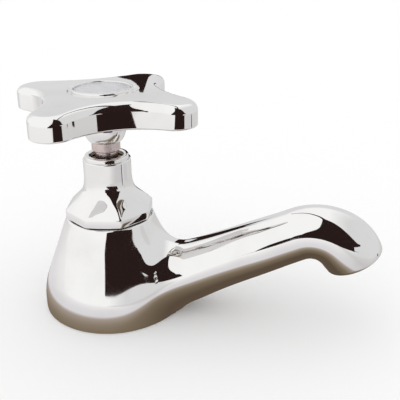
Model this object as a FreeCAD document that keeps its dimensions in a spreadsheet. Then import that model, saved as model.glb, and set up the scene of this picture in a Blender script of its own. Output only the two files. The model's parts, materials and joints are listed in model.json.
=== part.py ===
"""Pillar tap with a cross handle: a cast body and spout, a screw-down headgear and a rising spindle.

Millimetres, +Z up, +X along the spout. The origin is the centre of the flat underside of the base,
so the plane Z = 0 is the top of the deck that the tap stands on, and the threaded tail goes down
through the deck. The tap is shown closed, with its handle at its lowest.
"""
import FreeCAD
import Part
import math
import os
import re
import Sketcher

# ---------------------------------------------------------------- driving dimensions

SIZES = {
    # clearances that more than one pair of pieces shares
    "running_gap": 0.05,              # radial gap of a turning or sliding fit
    "thread_gap": 0.05,               # radial gap that stands for a fixed screw thread
    "seat_gap": 0.05,                 # axial gap where a moving face comes down on a fixed one
    "loose_gap": 0.15,                # radial gap of a washer round a plain shank
    "overrun": 1.0,                   # how far a cut runs past the face that it opens
    "nut_corner_slope": 0.5,          # rise of a nut's corner chamfer for each unit of width

    # base, shoulder and tail of the cast body
    "base_radius": 26.1,              # round foot of the body
    "foot_height": 3.5,               # upright land at the foot
    "shoulder_radius": 15.9,          # top of the cone
    "shoulder_height": 35.6,          # top face of the body
    "cone_angle": 20.6,               # slope of the cone from upright, degrees
    "blend_radius": 6.0,              # hollow between cone and spout
    "tail_radius": 10.4,              # crest of the half-inch pipe thread
    "tail_length": 50.0,              # below the deck plane
    "tail_chamfer": 1.2,              # lead-in at the end of the tail
    "inlet_radius": 6.0,              # bore of the tail

    # spout
    "spout_start": 4.0,               # first section of the spout, inside the cone
    "spout_root_height": 12.0,        # centre line of the spout at the cone
    "upturn_radius": 40.0,            # centre line, from level to rising
    "spout_rise": 25.3,               # slope of the long run, degrees
    "bend_radius": 15.0,              # centre line, over the top to the nozzle
    "nozzle_drop": 62.6,              # slope of the nozzle below level, degrees
    "nozzle_straight": 2.0,           # straight end of the nozzle
    "spout_reach": 89.3,              # centre of the outlet from the tail's axis
    "outlet_height": 24.5,            # centre of the outlet above the deck
    "root_radius": 14.6,              # spout at its first section
    "flare_radius": 13.6,             # spout where it starts to turn up
    "throat_radius": 11.1,            # spout where the long run starts
    "run_radius": 10.1,               # spout a third along its run
    "waist_radius": 9.7,              # spout two thirds along its run
    "neck_radius": 9.3,               # spout where the bend starts
    "crown_radius": 10.0,             # spout at the top of the bend
    "bulb_radius": 10.4,              # spout at the end of the bend
    "nozzle_radius": 10.1,            # spout at the outlet
    "nozzle_edge": 1.4,               # rounding of the nozzle's rim
    "run_station": 0.333,             # run section, as a share of the long run
    "waist_station": 0.667,           # waist section, as a share of the long run
    "crown_station": 0.5,             # crown section, as a share of the bend, from the nozzle

    # waterway inside the body
    "seat_floor": 9.0,                # ledge under the valve seat
    "seat_web": 3.5,                  # thickness of the web that holds the seat
    "chamber_radius": 9.6,            # valve chamber
    "headgear_depth": 9.6,            # tapped depth for the headgear
    "waterway_rise": 5.1,             # centre line of the waterway over the chamber's floor
    "waterway_root": 5.0,             # radius at the chamber
    "waterway_run": 6.6,              # radius along the spout
    "waterway_bend": 6.4,             # radius at the top of the bend
    "outlet_radius": 7.4,             # bore of the outlet
    "outlet_depth": 5.0,              # length of the outlet's bore

    # hollow under the base, and the foam gasket that closes it
    "gasket_room": 2.2,               # base gasket, clear of the tail
    "foot_rim": 3.1,                  # foot outside the base gasket
    "gasket_thickness": 1.8,          # base gasket, flush with the foot
    "inner_land": 1.4,                # ledge over the gasket, inside the hollow
    "outer_land": 2.0,                # ledge over the gasket, outside the hollow
    "hollow_top": 9.0,                # roof of the hollow
    "hollow_draft": 1.0,              # taper of the hollow's walls

    # pieces on the tail, under the deck
    "deck_room": 18.0,                # room between foot and under-deck washer
    "under_washer_radius": 17.0,      # rubber washer under the deck
    "under_washer_thickness": 2.0,    # rubber washer under the deck
    "slip_washer_radius": 15.5,       # plastic washer over the nut
    "slip_washer_thickness": 1.6,     # plastic washer over the nut
    "back_nut_flats": 27.0,           # back nut across its flats
    "back_nut_height": 5.0,           # hexagon of the back nut
    "back_nut_collar_radius": 15.0,   # round collar of the back nut
    "back_nut_collar_height": 1.6,    # round collar of the back nut

    # valve seat and jumper valve
    "seat_shoulder": 1.0,             # seat ring outside its lip
    "seat_bore_radius": 5.5,          # water hole of the seat
    "lip_bevel": 0.4,                 # slope inside the raised lip
    "lip_width": 0.6,                 # flat top of the raised lip
    "seat_lip_rise": 2.0,             # raised lip over the web
    "seat_lip_foot": 0.5,             # height of the slope up to the raised lip
    "washer_margin": 0.7,             # rubber washer of the jumper, outside the lip
    "jumper_washer_thickness": 2.6,   # rubber washer of the jumper
    "plate_margin": 0.4,              # metal plate of the jumper, outside its washer
    "jumper_plate_thickness": 1.6,    # metal plate of the jumper
    "jumper_boss_radius": 4.6,        # step that the spindle bears on
    "jumper_boss_height": 1.0,        # step that the spindle bears on
    "jumper_stem_radius": 3.0,        # guide stem in the spindle
    "jumper_stem_length": 13.0,       # guide stem above the step
    "jumper_stud_radius": 1.5,        # screwed stud for the washer nut
    "jumper_nut_flats": 5.5,          # washer nut across its flats
    "jumper_nut_height": 2.0,         # washer nut

    # headgear and its washer
    "headgear_screw_radius": 10.2,    # lower thread of the headgear
    "headgear_screw_length": 9.2,     # lower thread of the headgear, in the body
    "lead_in": 0.8,                   # chamfer where a thread starts
    "washer_lip": 0.28,               # fibre washer outside the hexagon's corners
    "headgear_washer_thickness": 1.0, # fibre washer under the hexagon
    "headgear_flats": 21.0,           # hexagon of the headgear across its flats
    "headgear_hex_height": 3.4,       # hexagon of the headgear
    "barrel_wall": 1.55,              # upper barrel of the headgear, round the stuffing box
    "barrel_height": 14.5,            # upper barrel of the headgear, over its hexagon
    "screw_step": 2.0,                # spindle's screw outside its stem
    "lift_spare": 0.8,                # thread left over the spindle's screw when the tap is open
    "stuffing_depth": 7.9,            # ledge of the stuffing box, under the barrel's top
    "neck_wall": 3.0,                 # headgear between its long thread and the stuffing box
    "packing_width": 1.65,            # room for the packing round the stem

    # spindle
    "stem_radius": 4.0,               # plain stem of the spindle
    "stem_room": 1.5,                 # hole for the jumper's stem, past its end
    "collar_radius": 5.05,            # bright collar under the handle
    "handle_gap": 1.6,                # collar over the bonnet's bead when closed
    "collar_height": 4.4,             # bright collar under the handle
    "collar_edge": 0.5,               # rounding of the collar
    "collar_seat": 1.0,               # how far the collar stands in the handle
    "spline_radius": 3.5,             # splined end of the spindle
    "spindle_short": 0.3,             # end of the spindle under the handle's web
    "screw_hole_radius": 1.75,        # tapped hole for the handle screw
    "screw_room": 1.7,                # tapped hole past the end of the screw
    "valve_lift": 6.0,                # rise of the spindle from closed to open

    # gland
    "gland_washer_thickness": 0.8,    # brass washer under the packing
    "packing_height": 3.4,            # packing ring
    "gland_step": 0.15,               # gland nut's flats outside its thread
    "gland_hex_height": 2.2,          # hexagon of the gland nut

    # bonnet cover
    "seal_thickness": 0.4,            # ring seal under the octagon
    "spanner_room": 1.18,             # octagon's inside, clear of the headgear's corners
    "skirt_wall": 1.75,               # wall of the octagon at its flats
    "octagon_turn": 9.5,              # turn of the octagon from the spout, degrees
    "band_height": 3.2,               # upright band of the octagon
    "flare_low_rise": 3.0,            # lower flare section over the band
    "flare_low_swell": 4.0,           # lower flare section outside the tube
    "flare_mid_rise": 2.4,            # middle flare section over the lower one
    "flare_mid_swell": 1.7,           # middle flare section outside the tube
    "flare_top_rise": 2.8,            # upper flare section over the middle one
    "flare_top_swell": 0.4,           # upper flare section outside the tube
    "flare_end_rise": 3.0,            # foot of the tube over the upper flare section
    "cover_gap": 0.1,                 # inside of the tube, clear of the barrel
    "tube_wall": 1.2,                 # wall of the tube
    "tube_height": 6.8,               # round tube of the bonnet
    "lip_step": 0.7,                  # bead inside the tube's outside
    "lip_height": 1.4,                # bead over the tube
    "lip_edge": 0.55,                 # rounding of bead and shoulder
    "mouth_radius": 6.0,              # hole in the top of the bonnet
    "bonnet_wall": 1.4,               # wall of the flare
    "roof_thickness": 1.6,            # wall round the mouth
    "seal_width": 1.4,                # ring seal under the bonnet

    # cross handle
    "arm_reach": 28.2,                # centre of an arm's round end from the axis
    "arm_end_radius": 7.35,           # round end of an arm
    "arm_waist": 20.4,                # hollow between two arms, from the axis
    "arm_turn": -15.1,                # first arm from the spout, degrees
    "hub_side_height": 4.0,           # upright side of the bowl, up to the arms
    "arm_thickness": 7.7,             # arm at its end
    "crown_rise": 1.7,                # top of the handle at the dish, over an arm's end
    "arm_edge": 2.6,                  # soft rounding of the upper edge
    "arm_lower_edge": 0.6,            # rounding of the lower edge
    "hub_radius": 7.5,                # bowl under the arms
    "hub_lip_wall": 0.65,             # lower lip of the bowl round the collar
    "hub_curve_height": 5.0,          # round part of the bowl
    "bush_wall": 1.2,                 # splined bush
    "web_rise": 1.3,                  # web that the screw clamps, over the arms' underside
    "web_thickness": 2.0,             # web that the screw clamps
    "well_radius": 8.6,               # well over the web
    "dish_slope": 0.85,               # width of the dish's sloping side
    "rim_margin": 0.7,                # floor of the dish outside the index
    "dish_depth": 1.1,                # dish below the crown

    # handle screw and index
    "screw_length": 10.5,             # handle screw under its head
    "screw_head_radius": 3.4,         # handle screw
    "screw_head_height": 2.4,         # handle screw
    "screw_slot_width": 1.0,          # slot of the handle screw
    "screw_slot_depth": 1.1,          # slot of the handle screw
    "lock_washer_radius": 3.8,        # spring washer under the screw head
    "lock_washer_thickness": 0.9,     # spring washer under the screw head
    "lock_washer_split": 0.6,         # cut in the spring washer
    "index_rim_radius": 10.7,         # bright rim round the index
    "index_rim_width": 0.8,           # bright rim round the index
    "index_rim_rise": 0.45,           # bright rim above the crown
    "plug_gap": 0.1,                  # skirt of the index, clear of the well
    "index_plug_depth": 3.0,          # plug below the dish floor
    "index_plug_wall": 1.1,           # plug
    "index_rim_edge": 0.25,           # rounding of the bright rim
    "index_floor": 0.4,               # floor of the rim under the disc
    "index_disc_rise": 0.15,          # disc above the crown
}

doc = FreeCAD.newDocument("pillar_tap")
sheet = doc.addObject("Spreadsheet::Sheet", "Sizes")
for row, (name, value) in enumerate(SIZES.items(), 1):
    sheet.set(f"A{row}", name)
    sheet.set(f"B{row}", str(value))
    sheet.setAlias(f"B{row}", name)
doc.recompute()


# ---------------------------------------------------------------- helpers

UP = FreeCAD.Vector(0, 0, 1)
START, END, CENTRE = range(1, 4)
ORIGIN_POINT = (-1, 1)
SAME = 1e-4     # lengths nearer than this, in millimetres, are the same


def read(name):
    """The value of one driving dimension."""
    return sheet.get(name)


def bound(expression):
    """Point each size name in an expression at its cell in the sheet."""
    return re.sub(r"\b([a-z]\w*)\b(?!\()", r"Sizes.\1", expression)


def total(expression):
    """The value of an expression that only adds and takes away sizes."""
    value, sign = 0.0, 1
    for word in expression.split():
        if word in ("+", "-"):
            sign = 1 if word == "+" else -1
        else:
            value += sign * read(word)
    return value


def new_body(label):
    """Start one piece of the tap."""
    body = doc.addObject("PartDesign::Body", label)
    body.Label = label
    body.Placement = FreeCAD.Placement()
    return body


def new_sketch(body, name, role="XZ_Plane", height=None):
    """Add a sketch on one of the body's own origin planes, moved along its normal by a height."""
    sketch = body.newObject("Sketcher::SketchObject", name)
    origin_plane = next(item for item in body.Origin.OriginFeatures if item.Role == role)
    sketch.AttachmentSupport = (origin_plane, [""])
    sketch.MapMode = "FlatFace"
    if height is not None:
        sketch.setExpression("AttachmentOffset.Base.z", bound(height))
    return sketch


def drive(sketch, constraint, expression):
    """Add a dimension to a sketch and bind it to sheet sizes."""
    index = sketch.addConstraint(constraint)
    sketch.setExpression(f"Constraints[{index}]", bound(expression))


def pin(sketch, line, point, across=None, up=None):
    """Fix a point of a sketch at expressions for its two coordinates."""
    drawn = sketch.getPoint(line, point)
    for kind, place, expression in (("DistanceX", drawn.x, across), ("DistanceY", drawn.y, up)):
        if expression is not None:
            drive(sketch, Sketcher.Constraint(kind, *ORIGIN_POINT, line, point, place), expression)


def outline(body, name, corners, role="XZ_Plane", height=None):
    """Sketch a closed outline of straight sides whose corners are given as expressions."""
    sketch = new_sketch(body, name, role, height)
    count = len(corners)
    rough = [FreeCAD.Vector(10 + 5 * math.cos(2 * math.pi * step / count),
                            10 + 5 * math.sin(2 * math.pi * step / count), 0) for step in range(count)]
    for step in range(count):
        sketch.addGeometry(Part.LineSegment(rough[step], rough[(step + 1) % count]))
    for step in range(count):
        sketch.addConstraint(Sketcher.Constraint("Coincident", step, END, (step + 1) % count, START))
    for step, (across, up) in enumerate(corners):
        pin(sketch, step, START, across, up)
    return sketch


def polygon(body, name, sides, flats, turn, height):
    """Sketch a regular polygon, given across its flats, level at a height."""
    step = 360 / sides
    reach = f"{flats} / 2 / cos({step / 2})"
    corners = [(f"{reach} * cos({turn} + {step * (side + 0.5)})",
                f"{reach} * sin({turn} + {step * (side + 0.5)})") for side in range(sides)]
    return outline(body, name, corners, "XY_Plane", height)


def circle(body, name, radius, role="XY_Plane", height=None):
    """Sketch a circle about the axis, level at a height."""
    sketch = new_sketch(body, name, role, height)
    draw_circle(sketch, radius)
    return sketch


def draw_circle(sketch, radius):
    """Draw a circle about the sketch's own origin."""
    ring = sketch.addGeometry(Part.Circle(FreeCAD.Vector(), UP, 5))
    sketch.addConstraint(Sketcher.Constraint("Coincident", ring, CENTRE, *ORIGIN_POINT))
    drive(sketch, Sketcher.Constraint("Radius", ring, 5), radius)


def turn(body, sketch, cut=False):
    """Revolve a sketch a full turn about the tap's axis, as solid or as a cut."""
    kind = "PartDesign::Groove" if cut else "PartDesign::Revolution"
    feature = body.newObject(kind, f"{sketch.Name}_turned")
    feature.Profile = sketch
    feature.ReferenceAxis = (sketch, ["V_Axis"])
    feature.Angle = 360
    return settled(body, feature, cut)


def extrude(body, sketch, length, cut=False, down=False):
    """Pad or pocket a sketch by a length, upwards unless down is set."""
    kind = "PartDesign::Pocket" if cut else "PartDesign::Pad"
    feature = body.newObject(kind, f"{sketch.Name}_drawn")
    feature.Profile = sketch
    feature.setExpression("Length", bound(length))
    feature.Reversed = down != cut
    return settled(body, feature, cut)


def settled(body, feature, cut):
    """Recompute, and make sure that the feature built and that a cut took something away."""
    base = feature.BaseFeature
    before = base.Shape.Volume if base else 0.0
    doc.recompute()
    if {"Invalid", "Error"} & set(feature.State) or feature.Shape.isNull():
        raise RuntimeError(f"{feature.Name} did not build")
    change = feature.Shape.Volume - before
    if (cut and change >= 0) or (not cut and change <= 0):
        raise RuntimeError(f"{feature.Name} changed nothing")
    return feature


def edges_where(feature, test):
    """Names of the feature's edges that pass a test."""
    return [f"Edge{number}" for number, edge in enumerate(feature.Shape.Edges, 1) if test(edge)]


def ring_at(radius, height):
    """Test for a level circle about the axis."""
    def test(edge):
        curve = edge.Curve
        return (isinstance(curve, Part.Circle) and abs(curve.Radius - total(radius)) < SAME
                and abs(curve.Center.z - total(height)) < SAME)
    return test


def soften(body, feature, edges, radius, kind="Fillet"):
    """Round or chamfer named edges of a feature."""
    softened = body.newObject(f"PartDesign::{kind}", f"{feature.Name}_{kind.lower()}")
    softened.Base = (feature, edges)
    softened.setExpression("Radius" if kind == "Fillet" else "Size", bound(radius))
    doc.recompute()
    if {"Invalid", "Error"} & set(softened.State) or softened.Shape.isNull():
        raise RuntimeError(f"{softened.Name} did not build")
    return softened


def ring(label, inner, outer, bottom, top):
    """A flat ring or washer about the axis."""
    body = new_body(label)
    corners = [(inner, bottom), (outer, bottom), (outer, top), (inner, top)]
    turn(body, outline(body, f"{label}_section", corners))
    return body


# ---------------------------------------------------------------- levels and radii that pieces share

CHAMBER_FLOOR = "seat_floor + seat_web"
SEAT_LIP_TOP = f"{CHAMBER_FLOOR} + seat_lip_rise"
WASHER_BOTTOM = f"{SEAT_LIP_TOP} + seat_gap"
WASHER_TOP = f"{WASHER_BOTTOM} + jumper_washer_thickness"
PLATE_TOP = f"{WASHER_TOP} + jumper_plate_thickness"
BOSS_TOP = f"{PLATE_TOP} + jumper_boss_height"

HEX_BOTTOM = "shoulder_height + headgear_washer_thickness"
HEX_TOP = f"{HEX_BOTTOM} + headgear_hex_height"
BARREL_TOP = f"{HEX_TOP} + barrel_height"
STUFFING_FLOOR = f"{BARREL_TOP} - stuffing_depth"
PACKING_BOTTOM = f"{STUFFING_FLOOR} + gland_washer_thickness"
PACKING_TOP = f"{PACKING_BOTTOM} + packing_height"
SPINDLE_NUT_TOP = f"{STUFFING_FLOOR} - neck_wall"
SPINDLE_BOTTOM = f"{BOSS_TOP} + seat_gap"
SPINDLE_SCREW_TOP = f"{SPINDLE_NUT_TOP} - lift_spare - valve_lift"

BONNET_BOTTOM = "shoulder_height + seal_thickness"
BAND_TOP = f"{BONNET_BOTTOM} + band_height"
FLARE_LOW = f"{BAND_TOP} + flare_low_rise"
FLARE_MID = f"{FLARE_LOW} + flare_mid_rise"
FLARE_TOP = f"{FLARE_MID} + flare_top_rise"
TUBE_FOOT = f"{FLARE_TOP} + flare_end_rise"
TUBE_TOP = f"{TUBE_FOOT} + tube_height"
LIP_TOP = f"{TUBE_TOP} + lip_height"

COLLAR_BOTTOM = f"{LIP_TOP} + handle_gap"
COLLAR_TOP = f"{COLLAR_BOTTOM} + collar_height"
HUB_BOTTOM = f"{COLLAR_TOP} - collar_seat"
HUB_SIDE = f"{HUB_BOTTOM} + hub_curve_height"
ARM_BOTTOM = f"{HUB_SIDE} + hub_side_height"
ARM_TOP = f"{ARM_BOTTOM} + arm_thickness"
CROWN = f"{ARM_TOP} + crown_rise"
WEB_BOTTOM = f"{ARM_BOTTOM} + web_rise"
WEB_TOP = f"{WEB_BOTTOM} + web_thickness"
SPINDLE_TOP = f"{WEB_BOTTOM} - spindle_short"
HEAD_BOTTOM = f"{WEB_TOP} + lock_washer_thickness"
DISH_FLOOR = f"{CROWN} - dish_depth"

UNDER_WASHER_BOTTOM = "0 - deck_room - under_washer_thickness"

SEAT_LIP_INNER = "seat_bore_radius + lip_bevel"
SEAT_LIP_OUTER = f"{SEAT_LIP_INNER} + lip_width"
SEAT_RING_RADIUS = f"{SEAT_LIP_OUTER} + seat_shoulder"
JUMPER_WASHER_RADIUS = f"{SEAT_LIP_OUTER} + washer_margin"
SPINDLE_NUT_RADIUS = "stem_radius + screw_step"
STUFFING_RADIUS = "stem_radius + packing_width"
BARREL_RADIUS = f"{STUFFING_RADIUS} + barrel_wall"
BONNET_BORE = f"{BARREL_RADIUS} + cover_gap"
TUBE_RADIUS = f"{BONNET_BORE} + tube_wall"
HEX_CORNER = "headgear_flats / 2 / cos(30)"
SKIRT_RADIUS = f"{HEX_CORNER} + spanner_room"
OCTAGON_FLATS = f"2 * ({SKIRT_RADIUS} + skirt_wall)"
GASKET_INNER = "tail_radius + gasket_room"
GASKET_OUTER = "base_radius - foot_rim"
HUB_LIP_RADIUS = "collar_radius + hub_lip_wall"
BUSH_RADIUS = "spline_radius + bush_wall"
SCREW_SHANK = "screw_hole_radius - thread_gap"
PLUG_RADIUS = "well_radius - plug_gap"
DISH_FLOOR_RADIUS = "index_rim_radius + rim_margin"


# ---------------------------------------------------------------- cast body and spout

def chain(sketch, joints):
    """Join ends of lines and arcs, smoothly where a joint says so."""
    for kind, first, first_end, second, second_end in joints:
        sketch.addConstraint(Sketcher.Constraint(kind, first, first_end, second, second_end))


def draw(sketch, corners):
    """Draw straight sides from corner to corner, without closing them; returns their numbers."""
    points = [FreeCAD.Vector(across, up, 0) for across, up in corners]
    return [sketch.addGeometry(Part.LineSegment(*pair)) for pair in zip(points, points[1:])]


def draw_arc(sketch, centre, radius, start, end):
    """Draw an arc, anticlockwise between two angles in degrees; returns its number."""
    round_line = Part.Circle(FreeCAD.Vector(*centre, 0), UP, radius)
    return sketch.addGeometry(Part.ArcOfCircle(round_line, math.radians(start), math.radians(end)))


def pedestal_outline(body):
    """Half section of the tail, the foot and the cone; an arc turns the upright foot into the cone."""
    sketch = new_sketch(body, "pedestal")
    below = draw(sketch, [(0, 35), (0, -50), (9, -50), (10, -48), (10, 0), (26, 0), (26, 3)])
    swell = draw_arc(sketch, (-4, 3), 30, 0, 20)
    cone, top = draw(sketch, [(24, 14), (16, 35), (0, 35)])
    axis, tail_end, lead_in, tail_side, deck_face, foot = below
    order = below + [swell, cone, top, axis]
    smooth = (foot, swell)
    chain(sketch, [("Tangent" if first in smooth else "Coincident", first, END, second, START)
                   for first, second in zip(order, order[1:])])
    pin(sketch, tail_end, START, "0", "0 - tail_length")
    pin(sketch, lead_in, START, "tail_radius - tail_chamfer", "0 - tail_length")
    pin(sketch, tail_side, START, "tail_radius", "tail_chamfer - tail_length")
    pin(sketch, deck_face, START, "tail_radius", "0")
    pin(sketch, foot, START, "base_radius", "0")
    pin(sketch, swell, START, "base_radius", "foot_height")
    pin(sketch, top, START, "shoulder_radius", "shoulder_height")
    pin(sketch, top, END, "0", "shoulder_height")
    drive(sketch, Sketcher.Constraint("Angle", cone, math.radians(110)), "90 + cone_angle")
    return sketch


LEVEL, UPTURN, RISE, BEND, NOZZLE = (f"Edge{number}" for number in range(1, 6))


def spout_path(body):
    """Centre line of the spout: level, turned up, a long rise, over the bend and down the nozzle."""
    sketch = new_sketch(body, "spout_path")
    level, = draw(sketch, [(4, 12), (15, 12)])
    upturn = draw_arc(sketch, (15, 52), 40, -90, -65)
    rise, = draw(sketch, [(32, 16), (68, 33)])
    bend = draw_arc(sketch, (75, 19), 15, 27, 115)
    nozzle, = draw(sketch, [(88, 26), (89, 24)])
    chain(sketch, [("Tangent", level, END, upturn, START), ("Tangent", upturn, END, rise, START),
                   ("Tangent", rise, END, bend, END), ("Tangent", bend, START, nozzle, START)])
    pin(sketch, level, START, "spout_start", "spout_root_height")
    sketch.addConstraint(Sketcher.Constraint("Horizontal", level))
    drive(sketch, Sketcher.Constraint("Radius", upturn, 40), "upturn_radius")
    drive(sketch, Sketcher.Constraint("Angle", rise, math.radians(25)), "spout_rise")
    drive(sketch, Sketcher.Constraint("Radius", bend, 15), "bend_radius")
    drive(sketch, Sketcher.Constraint("Angle", nozzle, math.radians(-62)), "0 - nozzle_drop")
    drive(sketch, Sketcher.Constraint("Distance", nozzle, 2), "nozzle_straight")
    pin(sketch, nozzle, END, "spout_reach", "outlet_height")
    doc.recompute()
    return sketch


def station(body, name, path, edge, share, radius):
    """Sketch a circle square to a path, at a share of the length of one of its edges."""
    sketch = body.newObject("Sketcher::SketchObject", name)
    sketch.AttachmentSupport = [(path, edge)]
    sketch.MapMode = "NormalToEdge"
    sketch.setExpression("MapPathParameter", bound(share))
    draw_circle(sketch, radius)
    return sketch


def loft(body, name, sections, cut=False):
    """Run a smooth skin through sections, as solid or as a cut."""
    feature = body.newObject(f"PartDesign::{'Subtractive' if cut else 'Additive'}Loft", name)
    feature.Profile = sections[0]
    feature.Sections = sections[1:]
    return settled(body, feature, cut)


def meets(feature, edge, test):
    """Whether a face beside an edge passes a test."""
    return any(test(face) for face in feature.Shape.ancestorsOfType(edge, Part.Face))


def tap_body():
    """The casting: pedestal, spout and tail in one, with its waterway and the hollow under its foot."""
    body = new_body("tap_body")
    path = spout_path(body)
    spout = loft(body, "spout", [
        station(body, "root_section", path, LEVEL, "0", "root_radius"),
        station(body, "flare_section", path, UPTURN, "0", "flare_radius"),
        station(body, "throat_section", path, RISE, "0", "throat_radius"),
        station(body, "run_section", path, RISE, "run_station", "run_radius"),
        station(body, "waist_section", path, RISE, "waist_station", "waist_radius"),
        station(body, "neck_section", path, BEND, "1", "neck_radius"),
        station(body, "crown_section", path, BEND, "crown_station", "crown_radius"),
        station(body, "bulb_section", path, NOZZLE, "0", "bulb_radius"),
        station(body, "nozzle_section", path, NOZZLE, "1", "nozzle_radius")])
    extrude(body, circle(body, "deck_plane", "spout_reach"), "root_radius", cut=True, down=True)
    pedestal = turn(body, pedestal_outline(body))

    def is_skin(face):
        return isinstance(face.Surface, Part.BSplineSurface)

    def is_pedestal(face):
        return not isinstance(face.Surface, (Part.BSplineSurface, Part.Plane))

    hollow = edges_where(pedestal, lambda edge: meets(pedestal, edge, is_skin)
                         and meets(pedestal, edge, is_pedestal))
    blended = soften(body, pedestal, hollow, "blend_radius")

    outlet = FreeCAD.Vector(read("spout_reach"), 0, read("outlet_height"))

    def is_mouth(face):
        flat = isinstance(face.Surface, Part.Plane)
        return flat and face.CenterOfMass.distanceToPoint(outlet) < read("nozzle_edge")

    rim = edges_where(blended, lambda edge: meets(blended, edge, is_mouth))
    soften(body, blended, rim, "nozzle_edge")

    turn(body, outline(body, "chamber", [
        ("0", "0 - tail_length - overrun"),
        ("inlet_radius", "0 - tail_length - overrun"),
        ("inlet_radius", "seat_floor"),
        (f"{SEAT_RING_RADIUS} + thread_gap", "seat_floor"),
        (f"{SEAT_RING_RADIUS} + thread_gap", CHAMBER_FLOOR),
        ("chamber_radius", CHAMBER_FLOOR),
        ("chamber_radius", "shoulder_height - headgear_depth"),
        ("headgear_screw_radius + thread_gap", "shoulder_height - headgear_depth"),
        ("headgear_screw_radius + thread_gap", "shoulder_height + overrun"),
        ("0", "shoulder_height + overrun")]), cut=True)
    turn(body, outline(body, "foot_hollow", [
        (f"{GASKET_INNER} - loose_gap", "0 - overrun"),
        (f"{GASKET_OUTER} + loose_gap", "0 - overrun"),
        (f"{GASKET_OUTER} + loose_gap", "gasket_thickness"),
        (f"{GASKET_OUTER} - outer_land", "gasket_thickness"),
        (f"{GASKET_OUTER} - outer_land - hollow_draft", "hollow_top"),
        (f"{GASKET_INNER} + inner_land + hollow_draft", "hollow_top"),
        (f"{GASKET_INNER} + inner_land", "gasket_thickness"),
        (f"{GASKET_INNER} - loose_gap", "gasket_thickness")]), cut=True)

    waterway_height = f"{CHAMBER_FLOOR} + waterway_rise"
    loft(body, "waterway", [
        upright_circle(body, "chamber_port", "chamber_radius / 2", waterway_height, "waterway_root"),
        upright_circle(body, "wall_port", "base_radius - overrun", waterway_height, "waterway_root"),
        station(body, "run_port", path, RISE, "run_station", "waterway_run"),
        station(body, "waist_port", path, RISE, "waist_station", "waterway_run"),
        station(body, "neck_port", path, BEND, "1", "waterway_bend"),
        station(body, "crown_port", path, BEND, "crown_station", "waterway_bend"),
        station(body, "bulb_port", path, NOZZLE, "0", "waterway_run")], cut=True)
    mouth = station(body, "outlet_bore", path, NOZZLE, "1", "outlet_radius")
    bore = body.newObject("PartDesign::Pocket", "outlet_bored")
    bore.Profile = mouth
    bore.setExpression("Length", bound("outlet_depth"))
    doc.recompute()
    inwards = (FreeCAD.Vector(read("spout_reach") / 2, 0, read("waist_radius")) - outlet)
    bore.Reversed = mouth.Placement.Rotation.multVec(UP).dot(inwards) > 0
    settled(body, bore, cut=True)
    return body


def upright_circle(body, name, across, up, radius):
    """Sketch a circle that stands square to the spout's level direction."""
    sketch = new_sketch(body, name, "YZ_Plane", across)
    ring_line = sketch.addGeometry(Part.Circle(FreeCAD.Vector(0, 15, 0), UP, 5))
    pin(sketch, ring_line, CENTRE, "0", up)
    drive(sketch, Sketcher.Constraint("Radius", ring_line, 5), radius)
    return sketch


# ---------------------------------------------------------------- nuts

def hexagon(body, name, flats, bottom, height, turned="0"):
    """Add a hexagon, given across its flats, standing on a level."""
    return extrude(body, polygon(body, name, 6, flats, turned, bottom), height)


def break_corners(body, name, flats, level, slope):
    """Take the corners off a hexagon at one of its ends; slope is the rise per unit of width."""
    turn(body, outline(body, name, [
        (f"{flats} / 2", level),
        (f"{flats}", level),
        (f"{flats}", f"{level} + ({slope}) * {flats} / 2")]), cut=True)


NUT_SLOPE = "nut_corner_slope"


def back_nut():
    """Flanged nut that draws the tap down on the deck from below."""
    body = new_body("back_nut")
    top = f"{UNDER_WASHER_BOTTOM} - slip_washer_thickness"
    hex_top = f"{top} - back_nut_collar_height"
    bottom = f"{hex_top} - back_nut_height"
    hexagon(body, "nut_hexagon", "back_nut_flats", bottom, "back_nut_height")
    break_corners(body, "nut_corners", "back_nut_flats", bottom, NUT_SLOPE)
    collar = circle(body, "nut_collar", "back_nut_collar_radius", height=hex_top)
    extrude(body, collar, "back_nut_collar_height")
    bore = circle(body, "nut_bore", "tail_radius + thread_gap", height=bottom)
    extrude(body, bore, "back_nut_height + back_nut_collar_height + overrun", cut=True)
    return body


# ---------------------------------------------------------------- valve

def valve_seat():
    """Ring screwed into the web of the body, with the raised lip that the washer closes on."""
    body = new_body("valve_seat")
    turn(body, outline(body, "seat_section", [
        ("seat_bore_radius", "seat_floor"),
        (SEAT_RING_RADIUS, "seat_floor"),
        (SEAT_RING_RADIUS, CHAMBER_FLOOR),
        (SEAT_LIP_OUTER, f"{CHAMBER_FLOOR} + seat_lip_foot"),
        (SEAT_LIP_OUTER, SEAT_LIP_TOP),
        (SEAT_LIP_INNER, SEAT_LIP_TOP),
        ("seat_bore_radius", CHAMBER_FLOOR)]))
    return body


def jumper_valve():
    """Plate with a guide stem above and a screwed stud below for its washer."""
    body = new_body("jumper_valve")
    stem_top = f"{BOSS_TOP} + jumper_stem_length"
    turn(body, outline(body, "jumper_section", [
        ("0", f"{WASHER_BOTTOM} - jumper_nut_height - seat_gap"),
        ("jumper_stud_radius", f"{WASHER_BOTTOM} - jumper_nut_height - seat_gap"),
        ("jumper_stud_radius", WASHER_TOP),
        (f"{JUMPER_WASHER_RADIUS} + plate_margin", WASHER_TOP),
        (f"{JUMPER_WASHER_RADIUS} + plate_margin", PLATE_TOP),
        ("jumper_boss_radius", PLATE_TOP),
        ("jumper_boss_radius", BOSS_TOP),
        ("jumper_stem_radius", BOSS_TOP),
        ("jumper_stem_radius", f"{stem_top} - lead_in"),
        ("jumper_stem_radius - lead_in", stem_top),
        ("0", stem_top)]))
    return body


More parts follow.
